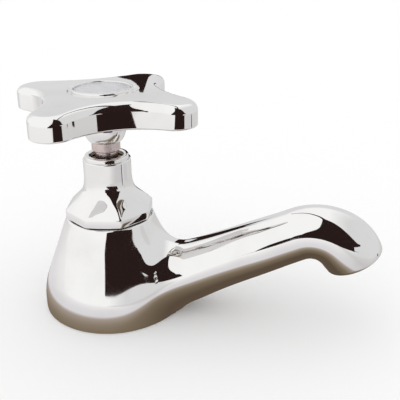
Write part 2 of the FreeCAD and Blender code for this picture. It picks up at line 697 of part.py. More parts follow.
def jumper_nut():
    """Small nut that holds the rubber washer on the jumper."""
    body = new_body("jumper_nut")
    bottom = f"{WASHER_BOTTOM} - jumper_nut_height"
    hexagon(body, "washer_nut", "jumper_nut_flats", bottom, "jumper_nut_height")
    break_corners(body, "washer_nut_corners", "jumper_nut_flats", bottom, NUT_SLOPE)
    bore = circle(body, "washer_nut_bore", "jumper_stud_radius + thread_gap", height=bottom)
    extrude(body, bore, "jumper_nut_height + overrun", cut=True)
    return body


# ---------------------------------------------------------------- headgear and gland

def headgear_body():
    """Screwed plug that closes the body, carries the spindle's thread and holds the stuffing box."""
    body = new_body("headgear_body")
    bottom = "shoulder_height - headgear_screw_length"
    turn(body, outline(body, "headgear_section", [
        ("0", bottom),
        ("headgear_screw_radius - lead_in", bottom),
        ("headgear_screw_radius", f"{bottom} + lead_in"),
        ("headgear_screw_radius", HEX_BOTTOM),
        (BARREL_RADIUS, HEX_TOP),
        (BARREL_RADIUS, f"{BARREL_TOP} - lead_in"),
        (f"{BARREL_RADIUS} - lead_in", BARREL_TOP),
        ("0", BARREL_TOP)]))
    hexagon(body, "headgear_hexagon", "headgear_flats", HEX_BOTTOM, "headgear_hex_height")
    break_corners(body, "headgear_corners", "headgear_flats", HEX_TOP, f"0 - {NUT_SLOPE}")
    turn(body, outline(body, "headgear_bore", [
        ("0", f"{bottom} - overrun"),
        (SPINDLE_NUT_RADIUS, f"{bottom} - overrun"),
        (SPINDLE_NUT_RADIUS, SPINDLE_NUT_TOP),
        ("stem_radius + running_gap", SPINDLE_NUT_TOP),
        ("stem_radius + running_gap", STUFFING_FLOOR),
        (STUFFING_RADIUS, STUFFING_FLOOR),
        (STUFFING_RADIUS, f"{BARREL_TOP} + overrun"),
        ("0", f"{BARREL_TOP} + overrun")]), cut=True)
    return body


def gland_nut():
    """Nut that presses the packing down round the stem."""
    body = new_body("gland_nut")
    hex_bottom = f"{BARREL_TOP} + seat_gap"
    flats = f"2 * ({STUFFING_RADIUS} + gland_step)"
    extrude(body, circle(body, "gland_screw", f"{STUFFING_RADIUS} - thread_gap", height=PACKING_TOP),
            f"{hex_bottom} - ({PACKING_TOP})")
    hexagon(body, "gland_hexagon", flats, hex_bottom, "gland_hex_height")
    break_corners(body, "gland_corners", flats, f"{hex_bottom} + gland_hex_height", f"0 - {NUT_SLOPE}")
    bore = circle(body, "gland_bore", "stem_radius + running_gap", height=PACKING_TOP)
    extrude(body, bore, f"{hex_bottom} - ({PACKING_TOP}) + gland_hex_height + overrun", cut=True)
    return body


# ---------------------------------------------------------------- bonnet cover

OCTAGON_SIDES = 8


def divided_circle(body, name, radius, height):
    """Sketch a circle in as many arcs as the octagon has sides, each arc over one side."""
    sketch = new_sketch(body, name, "XY_Plane", height)
    step = 360 / OCTAGON_SIDES
    rays, arcs = [], []
    for side in range(OCTAGON_SIDES):
        offset = side * step + step / 2 - 180
        start = read("octagon_turn") + offset
        arc = draw_arc(sketch, (0, 0), total(radius), start, start + step)
        ray = sketch.addGeometry(Part.LineSegment(FreeCAD.Vector(), sketch.getPoint(arc, START)), True)
        chain(sketch, [("Coincident", arc, CENTRE, *ORIGIN_POINT), ("Coincident", ray, START, *ORIGIN_POINT),
                       ("Coincident", ray, END, arc, START)])
        drive(sketch, Sketcher.Constraint("Angle", ray, math.radians(start)), f"octagon_turn + {offset}")
        rays.append(ray)
        arcs.append(arc)
    chain(sketch, [("Coincident", first, END, second, START) for first, second in zip(arcs, arcs[1:])])
    sketch.addConstraint(Sketcher.Constraint("PointOnObject", arcs[-1], END, rays[0]))
    drive(sketch, Sketcher.Constraint("Radius", arcs[0], total(radius)), radius)
    return sketch


def bonnet_cover():
    """Bell that hides the headgear: an octagon below, a round tube above and a bead at its mouth."""
    body = new_body("bonnet_cover")
    extrude(body, polygon(body, "octagon", OCTAGON_SIDES, OCTAGON_FLATS, "octagon_turn", BONNET_BOTTOM),
            "band_height")
    low, mid, top = (f"{TUBE_RADIUS} + flare_{part}_swell" for part in ("low", "mid", "top"))
    loft(body, "flare", [
        polygon(body, "band_edge", OCTAGON_SIDES, OCTAGON_FLATS, "octagon_turn", BAND_TOP),
        divided_circle(body, "flare_low", low, FLARE_LOW),
        divided_circle(body, "flare_mid", mid, FLARE_MID),
        divided_circle(body, "flare_top", top, FLARE_TOP),
        divided_circle(body, "tube_foot", TUBE_RADIUS, TUBE_FOOT)])
    bead_radius = f"{TUBE_RADIUS} - lip_step"
    tube = turn(body, outline(body, "tube", [
        ("0", TUBE_FOOT),
        (TUBE_RADIUS, TUBE_FOOT),
        (TUBE_RADIUS, TUBE_TOP),
        (bead_radius, TUBE_TOP),
        (bead_radius, LIP_TOP),
        ("0", LIP_TOP)]))
    shoulder = edges_where(tube, ring_at(TUBE_RADIUS, TUBE_TOP))
    bead = edges_where(tube, ring_at(bead_radius, LIP_TOP))
    soften(body, tube, shoulder + bead, "lip_edge")
    roof = f"{LIP_TOP} - roof_thickness"
    bored = turn(body, outline(body, "bonnet_inside", [
        ("0", f"{BONNET_BOTTOM} - overrun"),
        (SKIRT_RADIUS, f"{BONNET_BOTTOM} - overrun"),
        (SKIRT_RADIUS, BAND_TOP),
        (f"{low} - bonnet_wall", FLARE_LOW),
        (f"{mid} - bonnet_wall", FLARE_MID),
        (BONNET_BORE, FLARE_TOP),
        (BONNET_BORE, roof),
        ("mouth_radius", roof),
        ("mouth_radius", f"{LIP_TOP} + overrun"),
        ("0", f"{LIP_TOP} + overrun")]), cut=True)
    soften(body, bored, edges_where(bored, ring_at("mouth_radius", LIP_TOP)), "lip_edge")
    return body


# ---------------------------------------------------------------- spindle and handle

def spindle():
    """Screw that lifts off the jumper; its collar carries the handle and its end is splined."""
    body = new_body("spindle")
    solid = turn(body, outline(body, "spindle_section", [
        ("0", SPINDLE_BOTTOM),
        (f"{SPINDLE_NUT_RADIUS} - running_gap", SPINDLE_BOTTOM),
        (f"{SPINDLE_NUT_RADIUS} - running_gap", SPINDLE_SCREW_TOP),
        ("stem_radius", SPINDLE_SCREW_TOP),
        ("stem_radius", COLLAR_BOTTOM),
        ("collar_radius", COLLAR_BOTTOM),
        ("collar_radius", COLLAR_TOP),
        ("spline_radius", COLLAR_TOP),
        ("spline_radius", SPINDLE_TOP),
        ("0", SPINDLE_TOP)]))
    soften(body, solid, edges_where(solid, ring_at("collar_radius", COLLAR_BOTTOM)), "collar_edge")
    socket = circle(body, "stem_socket", "jumper_stem_radius + running_gap", height=SPINDLE_BOTTOM)
    extrude(body, socket, "jumper_stem_length + stem_room", cut=True)
    tapped = circle(body, "screw_hole", "screw_hole_radius", height=SPINDLE_TOP)
    screw_reach = f"screw_length - ({HEAD_BOTTOM} - ({SPINDLE_TOP}))"
    extrude(body, tapped, f"{screw_reach} + screw_room", cut=True, down=True)
    return body


ARMS = 4


def cross_outline(body):
    """Sketch the cross: round ends joined by hollow arcs, all tangent."""
    sketch = new_sketch(body, "cross", "XY_Plane", ARM_BOTTOM)
    reach, end_radius, waist = read("arm_reach"), read("arm_end_radius"), read("arm_waist")
    inset = waist - end_radius
    quarter = 360 / ARMS
    far = (reach ** 2 - inset ** 2) / (2 * (reach * math.cos(math.radians(quarter / 2)) - inset))
    hollow_radius = far - waist
    lean = math.degrees(math.atan2(far * math.sin(math.radians(quarter / 2)),
                                   far * math.cos(math.radians(quarter / 2)) - reach))
    ends, hollows = [], []
    for arm in range(ARMS):
        heading = read("arm_turn") + arm * quarter
        centre = [reach * part(math.radians(heading)) for part in (math.cos, math.sin)]
        ends.append(draw_arc(sketch, centre, end_radius, heading - lean, heading + lean))
        between = heading + quarter / 2
        centre = [far * part(math.radians(between)) for part in (math.cos, math.sin)]
        spread = lean - quarter / 2
        facing = between + 180
        hollows.append(draw_arc(sketch, centre, hollow_radius, facing - spread, facing + spread))
    for arm in range(ARMS):
        following = ends[(arm + 1) % ARMS]
        chain(sketch, [("Tangent", ends[arm], END, hollows[arm], END),
                       ("Tangent", hollows[arm], START, following, START)])
        heading = f"(arm_turn + {arm * quarter})"
        pin(sketch, ends[arm], CENTRE, f"arm_reach * cos{heading}", f"arm_reach * sin{heading}")
        drive(sketch, Sketcher.Constraint("Radius", ends[arm], end_radius), "arm_end_radius")
        inset_size = "(arm_waist - arm_end_radius)"
        drive(sketch, Sketcher.Constraint("Radius", hollows[arm], hollow_radius),
              f"(arm_reach * arm_reach - {inset_size} * {inset_size})"
              f" / (2 * (arm_reach * cos({quarter / 2}) - {inset_size})) - arm_waist")
    return sketch


def crown_outline(body):
    """Section of what is cut away above the handle's gently domed top."""
    sketch = new_sketch(body, "crown")
    reach = read("arm_reach") + read("arm_end_radius")
    drop = read("crown_rise")
    radius = (reach ** 2 + drop ** 2) / (2 * drop)
    crown, past = total(CROWN), reach + read("overrun")
    swing = math.degrees(math.asin(past / radius))
    dome = draw_arc(sketch, (0, crown - radius), radius, 90 - swing, 90)
    edge = sketch.getPoint(dome, START)
    above = crown + read("overrun")
    side, roof, axis = draw(sketch, [(edge.x, edge.y), (edge.x, above), (0, above), (0, crown)])
    chain(sketch, [("Coincident", dome, START, side, START), ("Coincident", side, END, roof, START),
                   ("Coincident", roof, END, axis, START), ("Coincident", axis, END, dome, END)])
    pin(sketch, dome, END, "0", CROWN)
    pin(sketch, dome, CENTRE, "0", None)
    pin(sketch, roof, START, "arm_reach + arm_end_radius + overrun", f"{CROWN} + overrun")
    pin(sketch, axis, START, "0", f"{CROWN} + overrun")
    sketch.addConstraint(Sketcher.Constraint("Vertical", side))
    span = "(arm_reach + arm_end_radius)"
    drive(sketch, Sketcher.Constraint("Radius", dome, radius),
          f"({span} * {span} + crown_rise * crown_rise) / (2 * crown_rise)")
    return sketch


def hub_outline(body):
    """Half section of the bowl under the arms: an upright side, then an arc in to the lip."""
    sketch = new_sketch(body, "hub")
    lip, side = total(HUB_LIP_RADIUS), read("hub_radius")
    bottom, turn_in = total(HUB_BOTTOM), total(HUB_SIDE)
    width, height = side - lip, turn_in - bottom
    radius = (width ** 2 + height ** 2) / (2 * width)
    top = total(ARM_BOTTOM) + read("overrun")
    floor, = draw(sketch, [(0, bottom), (lip, bottom)])
    swing = math.degrees(math.asin(height / radius))
    bowl = draw_arc(sketch, (side - radius, turn_in), radius, -swing, 0)
    wall, roof, axis = draw(sketch, [(side, turn_in), (side, top), (0, top), (0, bottom)])
    chain(sketch, [("Coincident", floor, END, bowl, START), ("Tangent", bowl, END, wall, START),
                   ("Coincident", wall, END, roof, START), ("Coincident", roof, END, axis, START),
                   ("Coincident", axis, END, floor, START)])
    pin(sketch, floor, START, "0", HUB_BOTTOM)
    pin(sketch, floor, END, HUB_LIP_RADIUS, HUB_BOTTOM)
    pin(sketch, wall, START, "hub_radius", HUB_SIDE)
    pin(sketch, wall, END, "hub_radius", f"{ARM_BOTTOM} + overrun")
    pin(sketch, roof, END, "0", f"{ARM_BOTTOM} + overrun")
    return sketch


def cross_handle():
    """Four-armed handle with a domed top, a dish for the index and a bowl round the spindle's end."""
    body = new_body("cross_handle")
    extrude(body, cross_outline(body), "arm_thickness + crown_rise")
    domed = turn(body, crown_outline(body), cut=True)
    bottom = total(ARM_BOTTOM)

    def is_side(face):
        return isinstance(face.Surface, Part.Cylinder)

    def is_dome(face):
        return isinstance(face.Surface, (Part.Sphere, Part.Toroid, Part.SurfaceOfRevolution))

    def is_lowest(edge):
        return max(abs(level - bottom) for level in (edge.BoundBox.ZMin, edge.BoundBox.ZMax)) < SAME

    upper = edges_where(domed, lambda edge: meets(domed, edge, is_side) and meets(domed, edge, is_dome))
    rounded = soften(body, domed, upper, "arm_edge")
    soften(body, rounded, edges_where(rounded, is_lowest), "arm_lower_edge")
    turn(body, hub_outline(body))
    turn(body, outline(body, "handle_bore", [
        ("0", f"{HUB_BOTTOM} - overrun"),
        ("collar_radius + thread_gap", f"{HUB_BOTTOM} - overrun"),
        ("collar_radius + thread_gap", COLLAR_TOP),
        (BUSH_RADIUS, COLLAR_TOP),
        (BUSH_RADIUS, WEB_BOTTOM),
        (f"{SCREW_SHANK} + loose_gap", WEB_BOTTOM),
        (f"{SCREW_SHANK} + loose_gap", WEB_TOP),
        ("well_radius", WEB_TOP),
        ("well_radius", DISH_FLOOR),
        (DISH_FLOOR_RADIUS, DISH_FLOOR),
        (f"{DISH_FLOOR_RADIUS} + dish_slope", CROWN),
        (f"{DISH_FLOOR_RADIUS} + dish_slope", f"{CROWN} + overrun"),
        ("0", f"{CROWN} + overrun")]), cut=True)
    return body


# ---------------------------------------------------------------- handle screw and index

def slot_outline(body, name, near, far, width, height):
    """Sketch a straight slot across or beside the axis, level at a height."""
    return outline(body, name, [
        (near, f"0 - {width} / 2"), (far, f"0 - {width} / 2"), (far, f"{width} / 2"), (near, f"{width} / 2")],
        "XY_Plane", height)


def handle_screw():
    """Slotted screw that holds the handle on the spindle."""
    body = new_body("handle_screw")
    head_top = f"{HEAD_BOTTOM} + screw_head_height"
    turn(body, outline(body, "screw_section", [
        ("0", f"{HEAD_BOTTOM} - screw_length"),
        (SCREW_SHANK, f"{HEAD_BOTTOM} - screw_length"),
        (SCREW_SHANK, HEAD_BOTTOM),
        ("screw_head_radius", HEAD_BOTTOM),
        ("screw_head_radius", f"{head_top} - lead_in"),
        ("screw_head_radius - lead_in", head_top),
        ("0", head_top)]))
    slot = slot_outline(body, "screw_slot", "0 - screw_head_radius - overrun",
                        "screw_head_radius + overrun", "screw_slot_width", head_top)
    extrude(body, slot, "screw_slot_depth", cut=True, down=True)
    return body


def lock_washer():
    """Split spring washer under the screw head."""
    body = ring("lock_washer", f"{SCREW_SHANK} + thread_gap", "lock_washer_radius", WEB_TOP, HEAD_BOTTOM)
    split = slot_outline(body, "washer_split", "0", "lock_washer_radius + overrun",
                         "lock_washer_split", WEB_TOP)
    extrude(body, split, "lock_washer_thickness", cut=True)
    return body


def index_ring():
    """Bright rim of the index, with a skirt that springs into the handle's well."""
    body = new_body("index_ring")
    rim_inside = "index_rim_radius - index_rim_width"
    rim_top = f"{CROWN} + index_rim_rise"
    solid = turn(body, outline(body, "rim_section", [
        (f"{PLUG_RADIUS} - index_plug_wall", f"{DISH_FLOOR} - index_plug_depth"),
        (PLUG_RADIUS, f"{DISH_FLOOR} - index_plug_depth"),
        (PLUG_RADIUS, DISH_FLOOR),
        ("index_rim_radius", DISH_FLOOR),
        ("index_rim_radius", rim_top),
        (rim_inside, rim_top),
        (rim_inside, f"{DISH_FLOOR} + index_floor"),
        (f"{PLUG_RADIUS} - index_plug_wall", f"{DISH_FLOOR} + index_floor")]))
    outer = edges_where(solid, ring_at("index_rim_radius", rim_top))
    inner = edges_where(solid, ring_at(rim_inside, rim_top))
    soften(body, solid, outer + inner, "index_rim_edge")
    return body


# ---------------------------------------------------------------- the tap

pieces = [
    tap_body(),
    ring("base_gasket", GASKET_INNER, GASKET_OUTER, "0", "gasket_thickness"),
    ring("under_washer", "tail_radius + loose_gap", "under_washer_radius",
         UNDER_WASHER_BOTTOM, "0 - deck_room"),
    ring("slip_washer", "tail_radius + loose_gap", "slip_washer_radius",
         f"{UNDER_WASHER_BOTTOM} - slip_washer_thickness", UNDER_WASHER_BOTTOM),
    back_nut(),
    valve_seat(),
    jumper_valve(),
    ring("jumper_washer", "jumper_stud_radius + loose_gap", JUMPER_WASHER_RADIUS,
         WASHER_BOTTOM, WASHER_TOP),
    jumper_nut(),
    ring("headgear_washer", "headgear_screw_radius + loose_gap", f"{HEX_CORNER} + washer_lip",
         "shoulder_height", HEX_BOTTOM),
    headgear_body(),
    ring("gland_washer", "stem_radius + loose_gap", f"{STUFFING_RADIUS} - thread_gap",
         STUFFING_FLOOR, PACKING_BOTTOM),
    ring("gland_packing", "stem_radius + running_gap", f"{STUFFING_RADIUS} - thread_gap",
         PACKING_BOTTOM, PACKING_TOP),
    gland_nut(),
    ring("bonnet_seal", f"{SKIRT_RADIUS} + loose_gap", f"{SKIRT_RADIUS} + seal_width",
         "shoulder_height", BONNET_BOTTOM),
    bonnet_cover(),
    spindle(),
    ring("spline_bush", "spline_radius + thread_gap", f"{BUSH_RADIUS} - thread_gap",
         COLLAR_TOP, f"{WEB_BOTTOM} - seat_gap"),
    cross_handle(),
    handle_screw(),
    lock_washer(),
    index_ring(),
    ring("index_disc", "0", "index_rim_radius - index_rim_width - thread_gap",
         f"{DISH_FLOOR} + index_floor", f"{CROWN} + index_disc_rise"),
]
doc.recompute()

for item in doc.Objects:
    if {"Invalid", "Error"} & set(item.State):
        raise RuntimeError(f"{item.Name} did not build")
for piece in pieces:
    shape = piece.Shape
    if shape.isNull() or not shape.isValid() or len(shape.Solids) != 1:
        raise RuntimeError(f"{piece.Label} isn't one valid solid")

os.makedirs("parts", exist_ok=True)
for piece in pieces:
    piece.Shape.exportStep(f"parts/{piece.Label}.step")
    print(f"{piece.Label}: {piece.Shape.Volume / 1000:.2f} cm3")
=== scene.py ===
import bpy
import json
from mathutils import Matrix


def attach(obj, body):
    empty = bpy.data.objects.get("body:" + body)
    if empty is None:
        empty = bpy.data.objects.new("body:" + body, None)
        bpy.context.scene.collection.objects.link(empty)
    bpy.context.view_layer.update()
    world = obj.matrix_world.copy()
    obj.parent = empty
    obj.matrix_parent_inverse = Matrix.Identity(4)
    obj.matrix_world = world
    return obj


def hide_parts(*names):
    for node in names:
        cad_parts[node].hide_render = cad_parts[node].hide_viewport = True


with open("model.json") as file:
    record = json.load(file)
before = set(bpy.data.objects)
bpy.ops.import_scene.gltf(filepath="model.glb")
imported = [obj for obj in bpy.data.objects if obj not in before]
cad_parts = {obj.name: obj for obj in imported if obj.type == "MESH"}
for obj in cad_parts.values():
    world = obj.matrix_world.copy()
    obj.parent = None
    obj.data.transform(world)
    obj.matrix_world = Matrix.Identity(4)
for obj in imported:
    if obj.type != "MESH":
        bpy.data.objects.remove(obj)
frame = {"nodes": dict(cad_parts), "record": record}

"""A chromed pillar tap with a cross handle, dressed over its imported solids, and the studio round it.

Lengths here are millimetres and are turned into metres where a mesh is written. +X runs along the
spout and Z = 0 is the deck under the foot.
"""
import json
import logging
import math
from abc import ABC, abstractmethod
from dataclasses import dataclass, field
from enum import Enum
from typing import Callable, Sequence

import bpy
import numpy as np
from mathutils import Matrix, Vector

logging.basicConfig(level=logging.INFO, format="%(message)s")
LOG = logging.getLogger("tap")

MM = 0.001
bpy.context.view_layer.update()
# points closer than this are one point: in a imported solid's mesh, and at the seams of a turned piece
COPY_MERGE = 0.002
SPUN_MERGE = 0.001
# how often a skin is moved on to its form, and the least squared slope that a move is worked out with
SETTLE_ROUNDS = 5
LEAST_SLOPE = 0.2
# a spot of an outline, or two limits; a colour; and a rule that gives every one of many places a number
Point = tuple[float, float]
Colour = tuple[float, float, float]
Form = Callable[[np.ndarray], np.ndarray]
Object = bpy.types.Object
Tree = bpy.types.NodeTree
Node = bpy.types.Node
Socket = bpy.types.NodeSocket


class Body(Enum):
    """The bodies that the modelled pieces ride on."""

    FIXED = "body"
    HANDLE = "handle"


class Slot(Enum):
    """The record's slots that the modelled pieces take their finish from."""

    BODY = "body_chrome"
    HANDLE = "handle_chrome"
    TRIM = "trim_chrome"
    TAIL = "turned_brass"
    INDEX = "index_satin"


# ---------------------------------------------------------------- soft forms

def rounded_meet(first: np.ndarray, second: np.ndarray, radius: float) -> np.ndarray:
    """Keep what is inside both forms, with a round edge between them.

    Args:
        first: distance outside the first form.
        second: distance outside the second form.
        radius: radius of the round edge.

    Returns:
        Distance outside the part that both share.
    """
    corner = np.hypot(np.maximum(first + radius, 0), np.maximum(second + radius, 0))
    return np.minimum(np.maximum(first, second), -radius) + corner


def soft_join(first: np.ndarray, second: np.ndarray, width: float) -> np.ndarray:
    """Join two forms with a smooth hollow between them.

    Args:
        first: distance outside the first form.
        second: distance outside the second form.
        width: how far apart the two distances still blend.

    Returns:
        Distance outside the joined form.
    """
    near = np.maximum(width - np.abs(first - second), 0) / width
    return np.minimum(first, second) - near ** 3 * width / 6


def even_curve(knots: Sequence[float], values: Sequence[float]) -> Form:
    """A natural cubic curve through given values.

    Args:
        knots: places along the curve, rising.
        values: the value at each place.

    Returns:
        A function from places to values.
    """
    x, y = np.asarray(knots, float), np.asarray(values, float)
    step, rise = np.diff(x), np.diff(y) / np.diff(x)
    inner = np.diag(2 * (step[:-1] + step[1:])) + np.diag(step[1:-1], 1) + np.diag(step[1:-1], -1)
    bend = np.zeros(len(x))
    bend[1:-1] = np.linalg.solve(inner, 6 * np.diff(rise))

    def curve(at: np.ndarray) -> np.ndarray:
        """The curve's values at some places.

        Args:
            at: the places, held to the curve's two ends.

        Returns:
            The value at each place.
        """
        at = np.clip(at, x[0], x[-1])
        i = np.clip(np.searchsorted(x, at) - 1, 0, len(step) - 1)
        left, right, width = at - x[i], x[i + 1] - at, step[i]
        cubic = (bend[i] * right ** 3 + bend[i + 1] * left ** 3) / (6 * width)
        return (cubic + (y[i] / width - bend[i] * width / 6) * right
                + (y[i + 1] / width - bend[i + 1] * width / 6) * left)
    return curve


def slope_of(form: Form, points: np.ndarray, reach: float = 0.01) -> np.ndarray:
    """How a form's distance grows along X, Y and Z at some points, measured over a short reach."""
    steps = np.eye(3) * reach
    return np.stack([(form(points + step) - form(points - step)) / (2 * reach) for step in steps], axis=1)


# ---------------------------------------------------------------- mesh work

def select_only(*objects: Object) -> None:
    """Select some objects and nothing else.

    Args:
        objects: what to select; the first is made the active one.
    """
    if bpy.context.mode != "OBJECT":
        bpy.ops.object.mode_set(mode="OBJECT")
    bpy.ops.object.select_all(action="DESELECT")
    for item in objects:
        item.hide_set(False)
        item.select_set(True)
    bpy.context.view_layer.objects.active = objects[0]


def edit(piece: Object, select: str = "SELECT") -> None:
    """Go into edit mode on one piece.

    Args:
        piece: the piece to edit.
        select: SELECT to start with all of it selected, DESELECT with none.
    """
    select_only(piece)
    bpy.ops.object.mode_set(mode="EDIT")
    bpy.ops.mesh.select_mode(type="VERT")
    bpy.ops.mesh.select_all(action=select)


def leave_edit() -> None:
    """Go back to object mode."""
    bpy.ops.object.mode_set(mode="OBJECT")


def read_points(piece: Object) -> np.ndarray:
    """Read a piece's points.

    Args:
        piece: the piece.

    Returns:
        Its points in millimetres, one a row.
    """
    flat = np.empty(len(piece.data.vertices) * 3, np.float32)
    piece.data.vertices.foreach_get("co", flat)
    return flat.reshape(-1, 3).astype(float) / MM


def write_points(piece: Object, points: np.ndarray) -> None:
    """Put a piece's points at these places, in millimetres."""
    piece.data.vertices.foreach_set("co", (points * MM).astype(np.float32).ravel())
    piece.data.update()


def apply_modifier(piece: Object, kind: str, **settings: object) -> None:
    """Add one modifier and apply it.

    Args:
        piece: the piece that it changes.
        kind: the modifier's kind.
        settings: the modifier's settings by name.
    """
    select_only(piece)
    modifier = piece.modifiers.new(kind.lower(), kind)
    for name, value in settings.items():
        setattr(modifier, name, value)
    bpy.ops.object.modifier_apply(modifier=modifier.name)


def placed(name: str, mesh: bpy.types.Mesh) -> Object:
    """Put a mesh in the scene as a new object.

    Args:
        name: name of the object.
        mesh: its mesh.

    Returns:
        The object, at the origin.
    """
    item = bpy.data.objects.new(name, mesh)
    bpy.context.scene.collection.objects.link(item)
    return item


def copy_of_node(node_name: str, name: str) -> Object:
    """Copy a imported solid's mesh as the start of a piece, with its doubled points merged.

    Args:
        node_name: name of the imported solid.
        name: name of the new piece.

    Returns:
        The piece, without a material.
    """
    piece = placed(name, frame["nodes"][node_name].data.copy())
    piece.data.materials.clear()
    edit(piece)
    bpy.ops.mesh.remove_doubles(threshold=COPY_MERGE * MM)
    leave_edit()
    return piece


def cut_below(piece: Object, height: float) -> None:
    """Take away what a closed piece has below a level and close the cut.

    Args:
        piece: the piece.
        height: the level, in millimetres.
    """
    edit(piece)
    bpy.ops.mesh.bisect(plane_co=(0, 0, height * MM), plane_no=(0, 0, 1), use_fill=True, clear_inner=True)
    leave_edit()


def drawn(name: str, outline: Sequence[Point], closed: bool = True) -> Object:
    """Draw an outline as a bare line of edges in the plane of X and Z.

    Args:
        name: name of the new piece.
        outline: its corners as distances from the axis and heights, in order.
        closed: whether the last corner joins the first.

    Returns:
        The piece, still without faces.
    """
    pairs = [(i, i + 1) for i in range(len(outline) - 1)]
    if closed:
        pairs.append((len(outline) - 1, 0))
    mesh = bpy.data.meshes.new(name)
    mesh.from_pydata([(radius * MM, 0, height * MM) for radius, height in outline], pairs, [])
    return placed(name, mesh)


def spun(name: str, outline: Sequence[Point], steps: int, closed: bool = True) -> Object:
    """Turn an outline once round the tap's axis.

    Args:
        name: name of the new piece.
        outline: its corners as distances from the axis and heights, in order.
        steps: how many faces go round.
        closed: whether the last corner joins the first.

    Returns:
        The piece, closed and with its faces outwards.
    """
    piece = drawn(name, outline, closed)
    edit(piece)
    bpy.ops.mesh.spin(steps=steps, angle=math.tau, center=(0, 0, 0), axis=(0, 0, 1), dupli=False)
    bpy.ops.mesh.select_all(action="SELECT")
    bpy.ops.mesh.remove_doubles(threshold=SPUN_MERGE * MM)
    bpy.ops.mesh.normals_make_consistent(inside=False)
    leave_edit()
    return piece


def round_outline(corners: Sequence[tuple[float, float, float]], parts: int = 5) -> list[Point]:
    """Round the corners of a closed outline.

    Args:
        corners: distance from the axis, height and rounding of each corner.
        parts: how many points make each round corner.

    Returns:
        The outline with its corners rounded.
    """
    rounded: list[Point] = []
    for index, (radius, height, rounding) in enumerate(corners):
        here = np.array([radius, height])
        if rounding <= 0:
            rounded.append((radius, height))
            continue
        before = np.array(corners[index - 1][:2]) - here
        after = np.array(corners[(index + 1) % len(corners)][:2]) - here
        start = here + before / np.hypot(*before) * rounding
        end = here + after / np.hypot(*after) * rounding
        for share in np.linspace(0, 1, parts):
            spot = (1 - share) ** 2 * start + 2 * share * (1 - share) * here + share ** 2 * end
            rounded.append((float(spot[0]), float(spot[1])))
    return rounded


def smooth(piece: Object, angle: float = 32.0) -> None:
    """Shade a piece smooth, but for edges sharper than an angle in degrees."""
    select_only(piece)
    bpy.ops.object.shade_smooth_by_angle(angle=math.radians(angle))


def settle(piece: Object, form: Form, keep: Form, reach: float) -> None:
    """Bring a piece's skin exactly on to a soft form and shade it by the form's own slope.

    Args:
        piece: the piece, already near the form.
        form: distance outside the form at some points.
        keep: which points of the piece belong to its skin.
        reach: how far from the form a point may start, in millimetres.
    """
    points = read_points(piece)
    skin = np.flatnonzero((np.abs(form(points)) < reach) & keep(points))
    for _ in range(SETTLE_ROUNDS):
        slope = slope_of(form, points[skin])
        gap = form(points[skin]) / np.maximum((slope ** 2).sum(axis=1), LEAST_SLOPE)
        points[skin] -= slope * gap[:, None]
    write_points(piece, points)
    select_only(piece)
    bpy.ops.object.shade_smooth()
    flat = np.empty(len(points) * 3, np.float32)
    piece.data.vertices.foreach_get("normal", flat)
    normals = flat.reshape(-1, 3).astype(float)
    slope = slope_of(form, points[skin])
    normals[skin] = slope / np.linalg.norm(slope, axis=1)[:, None]
    piece.data.normals_split_custom_set_from_vertices(normals.tolist())


# ---------------------------------------------------------------- shared effects of the finishes

def new_group(name: str, inputs: dict[str, float], outputs: Sequence[str]) -> Tree:
    """Start a node group whose inputs and outputs are plain numbers.

    Args:
        name: name of the group.
        inputs: the name and first value of each input.
        outputs: the names of the outputs.

    Returns:
        The group, with nothing in it yet.
    """
    group = bpy.data.node_groups.new(name, "ShaderNodeTree")
    for label, value in inputs.items():
        socket = group.interface.new_socket(label, in_out="INPUT", socket_type="NodeSocketFloat")
        socket.default_value = value
    for label in outputs:
        group.interface.new_socket(label, in_out="OUTPUT", socket_type="NodeSocketFloat")
    return group


def node(tree: Tree, kind: str, **settings: object) -> Node:
    """Add a node.

    Args:
        tree: where it goes.
        kind: the node's kind.
        settings: its settings by name; what isn't a setting of the node sets the input of that name.

    Returns:
        The node.
    """
    made = tree.nodes.new(kind)
    for name, value in settings.items():
        if hasattr(made, name):
            setattr(made, name, value)
        else:
            made.inputs[name.replace("_", " ").title()].default_value = value
    return made


def join(tree: Tree, *links: tuple[Socket, Socket]) -> None:
    """Link pairs of sockets."""
    for start, end in links:
        tree.links.new(start, end)


def worked_out(tree: Tree, operation: str, *given: Socket | float) -> Socket:
    """Work a number out of others.

    Args:
        tree: where the working goes.
        operation: what to do with the numbers.
        given: sockets and plain numbers, in order.

    Returns:
        The result's socket.
    """
    made = node(tree, "ShaderNodeMath", operation=operation)
    for socket, value in zip(made.inputs, given):
        if isinstance(value, float):
            socket.default_value = value
        else:
            tree.links.new(value, socket)
    return made.outputs[0]


def spread(tree: Tree, value: Socket, low: float, high: float,
           to_low: float = 0.0, to_high: float = 1.0) -> Socket:
    """Map a value from one range to another and hold it there.

    Args:
        tree: where the mapping goes.
        value: the value's socket.
        low: start of the first range.
        high: end of the first range.
        to_low: start of the second range.
        to_high: end of the second range.

    Returns:
        The result's socket.
    """
    made = node(tree, "ShaderNodeMapRange", from_min=low, from_max=high, to_min=to_low, to_max=to_high)
    tree.links.new(value, made.inputs["Value"])
    return made.outputs["Result"]


def split_place(tree: Tree, kind: str) -> Node:
    """Split the place of a spot into X, Y and Z.

    Args:
        tree: where the split goes.
        kind: which coordinates the place is given in.

    Returns:
        The node whose outputs are X, Y and Z.
    """
    where, parts = node(tree, "ShaderNodeTexCoord"), node(tree, "ShaderNodeSeparateXYZ")
    tree.links.new(where.outputs[kind], parts.inputs[0])
    return parts


def flat_length(tree: Tree, across: Socket, along: Socket) -> Socket:
    """The length of a step on the level.

    Args:
        tree: where the working goes.
        across: the step's X.
        along: the step's Y.

    Returns:
        The socket of the length.
    """
    flat, length = node(tree, "ShaderNodeCombineXYZ"), node(tree, "ShaderNodeVectorMath", operation="LENGTH")
    join(tree, (across, flat.inputs["X"]), (along, flat.inputs["Y"]), (flat.outputs[0], length.inputs[0]))
    return length.outputs["Value"]


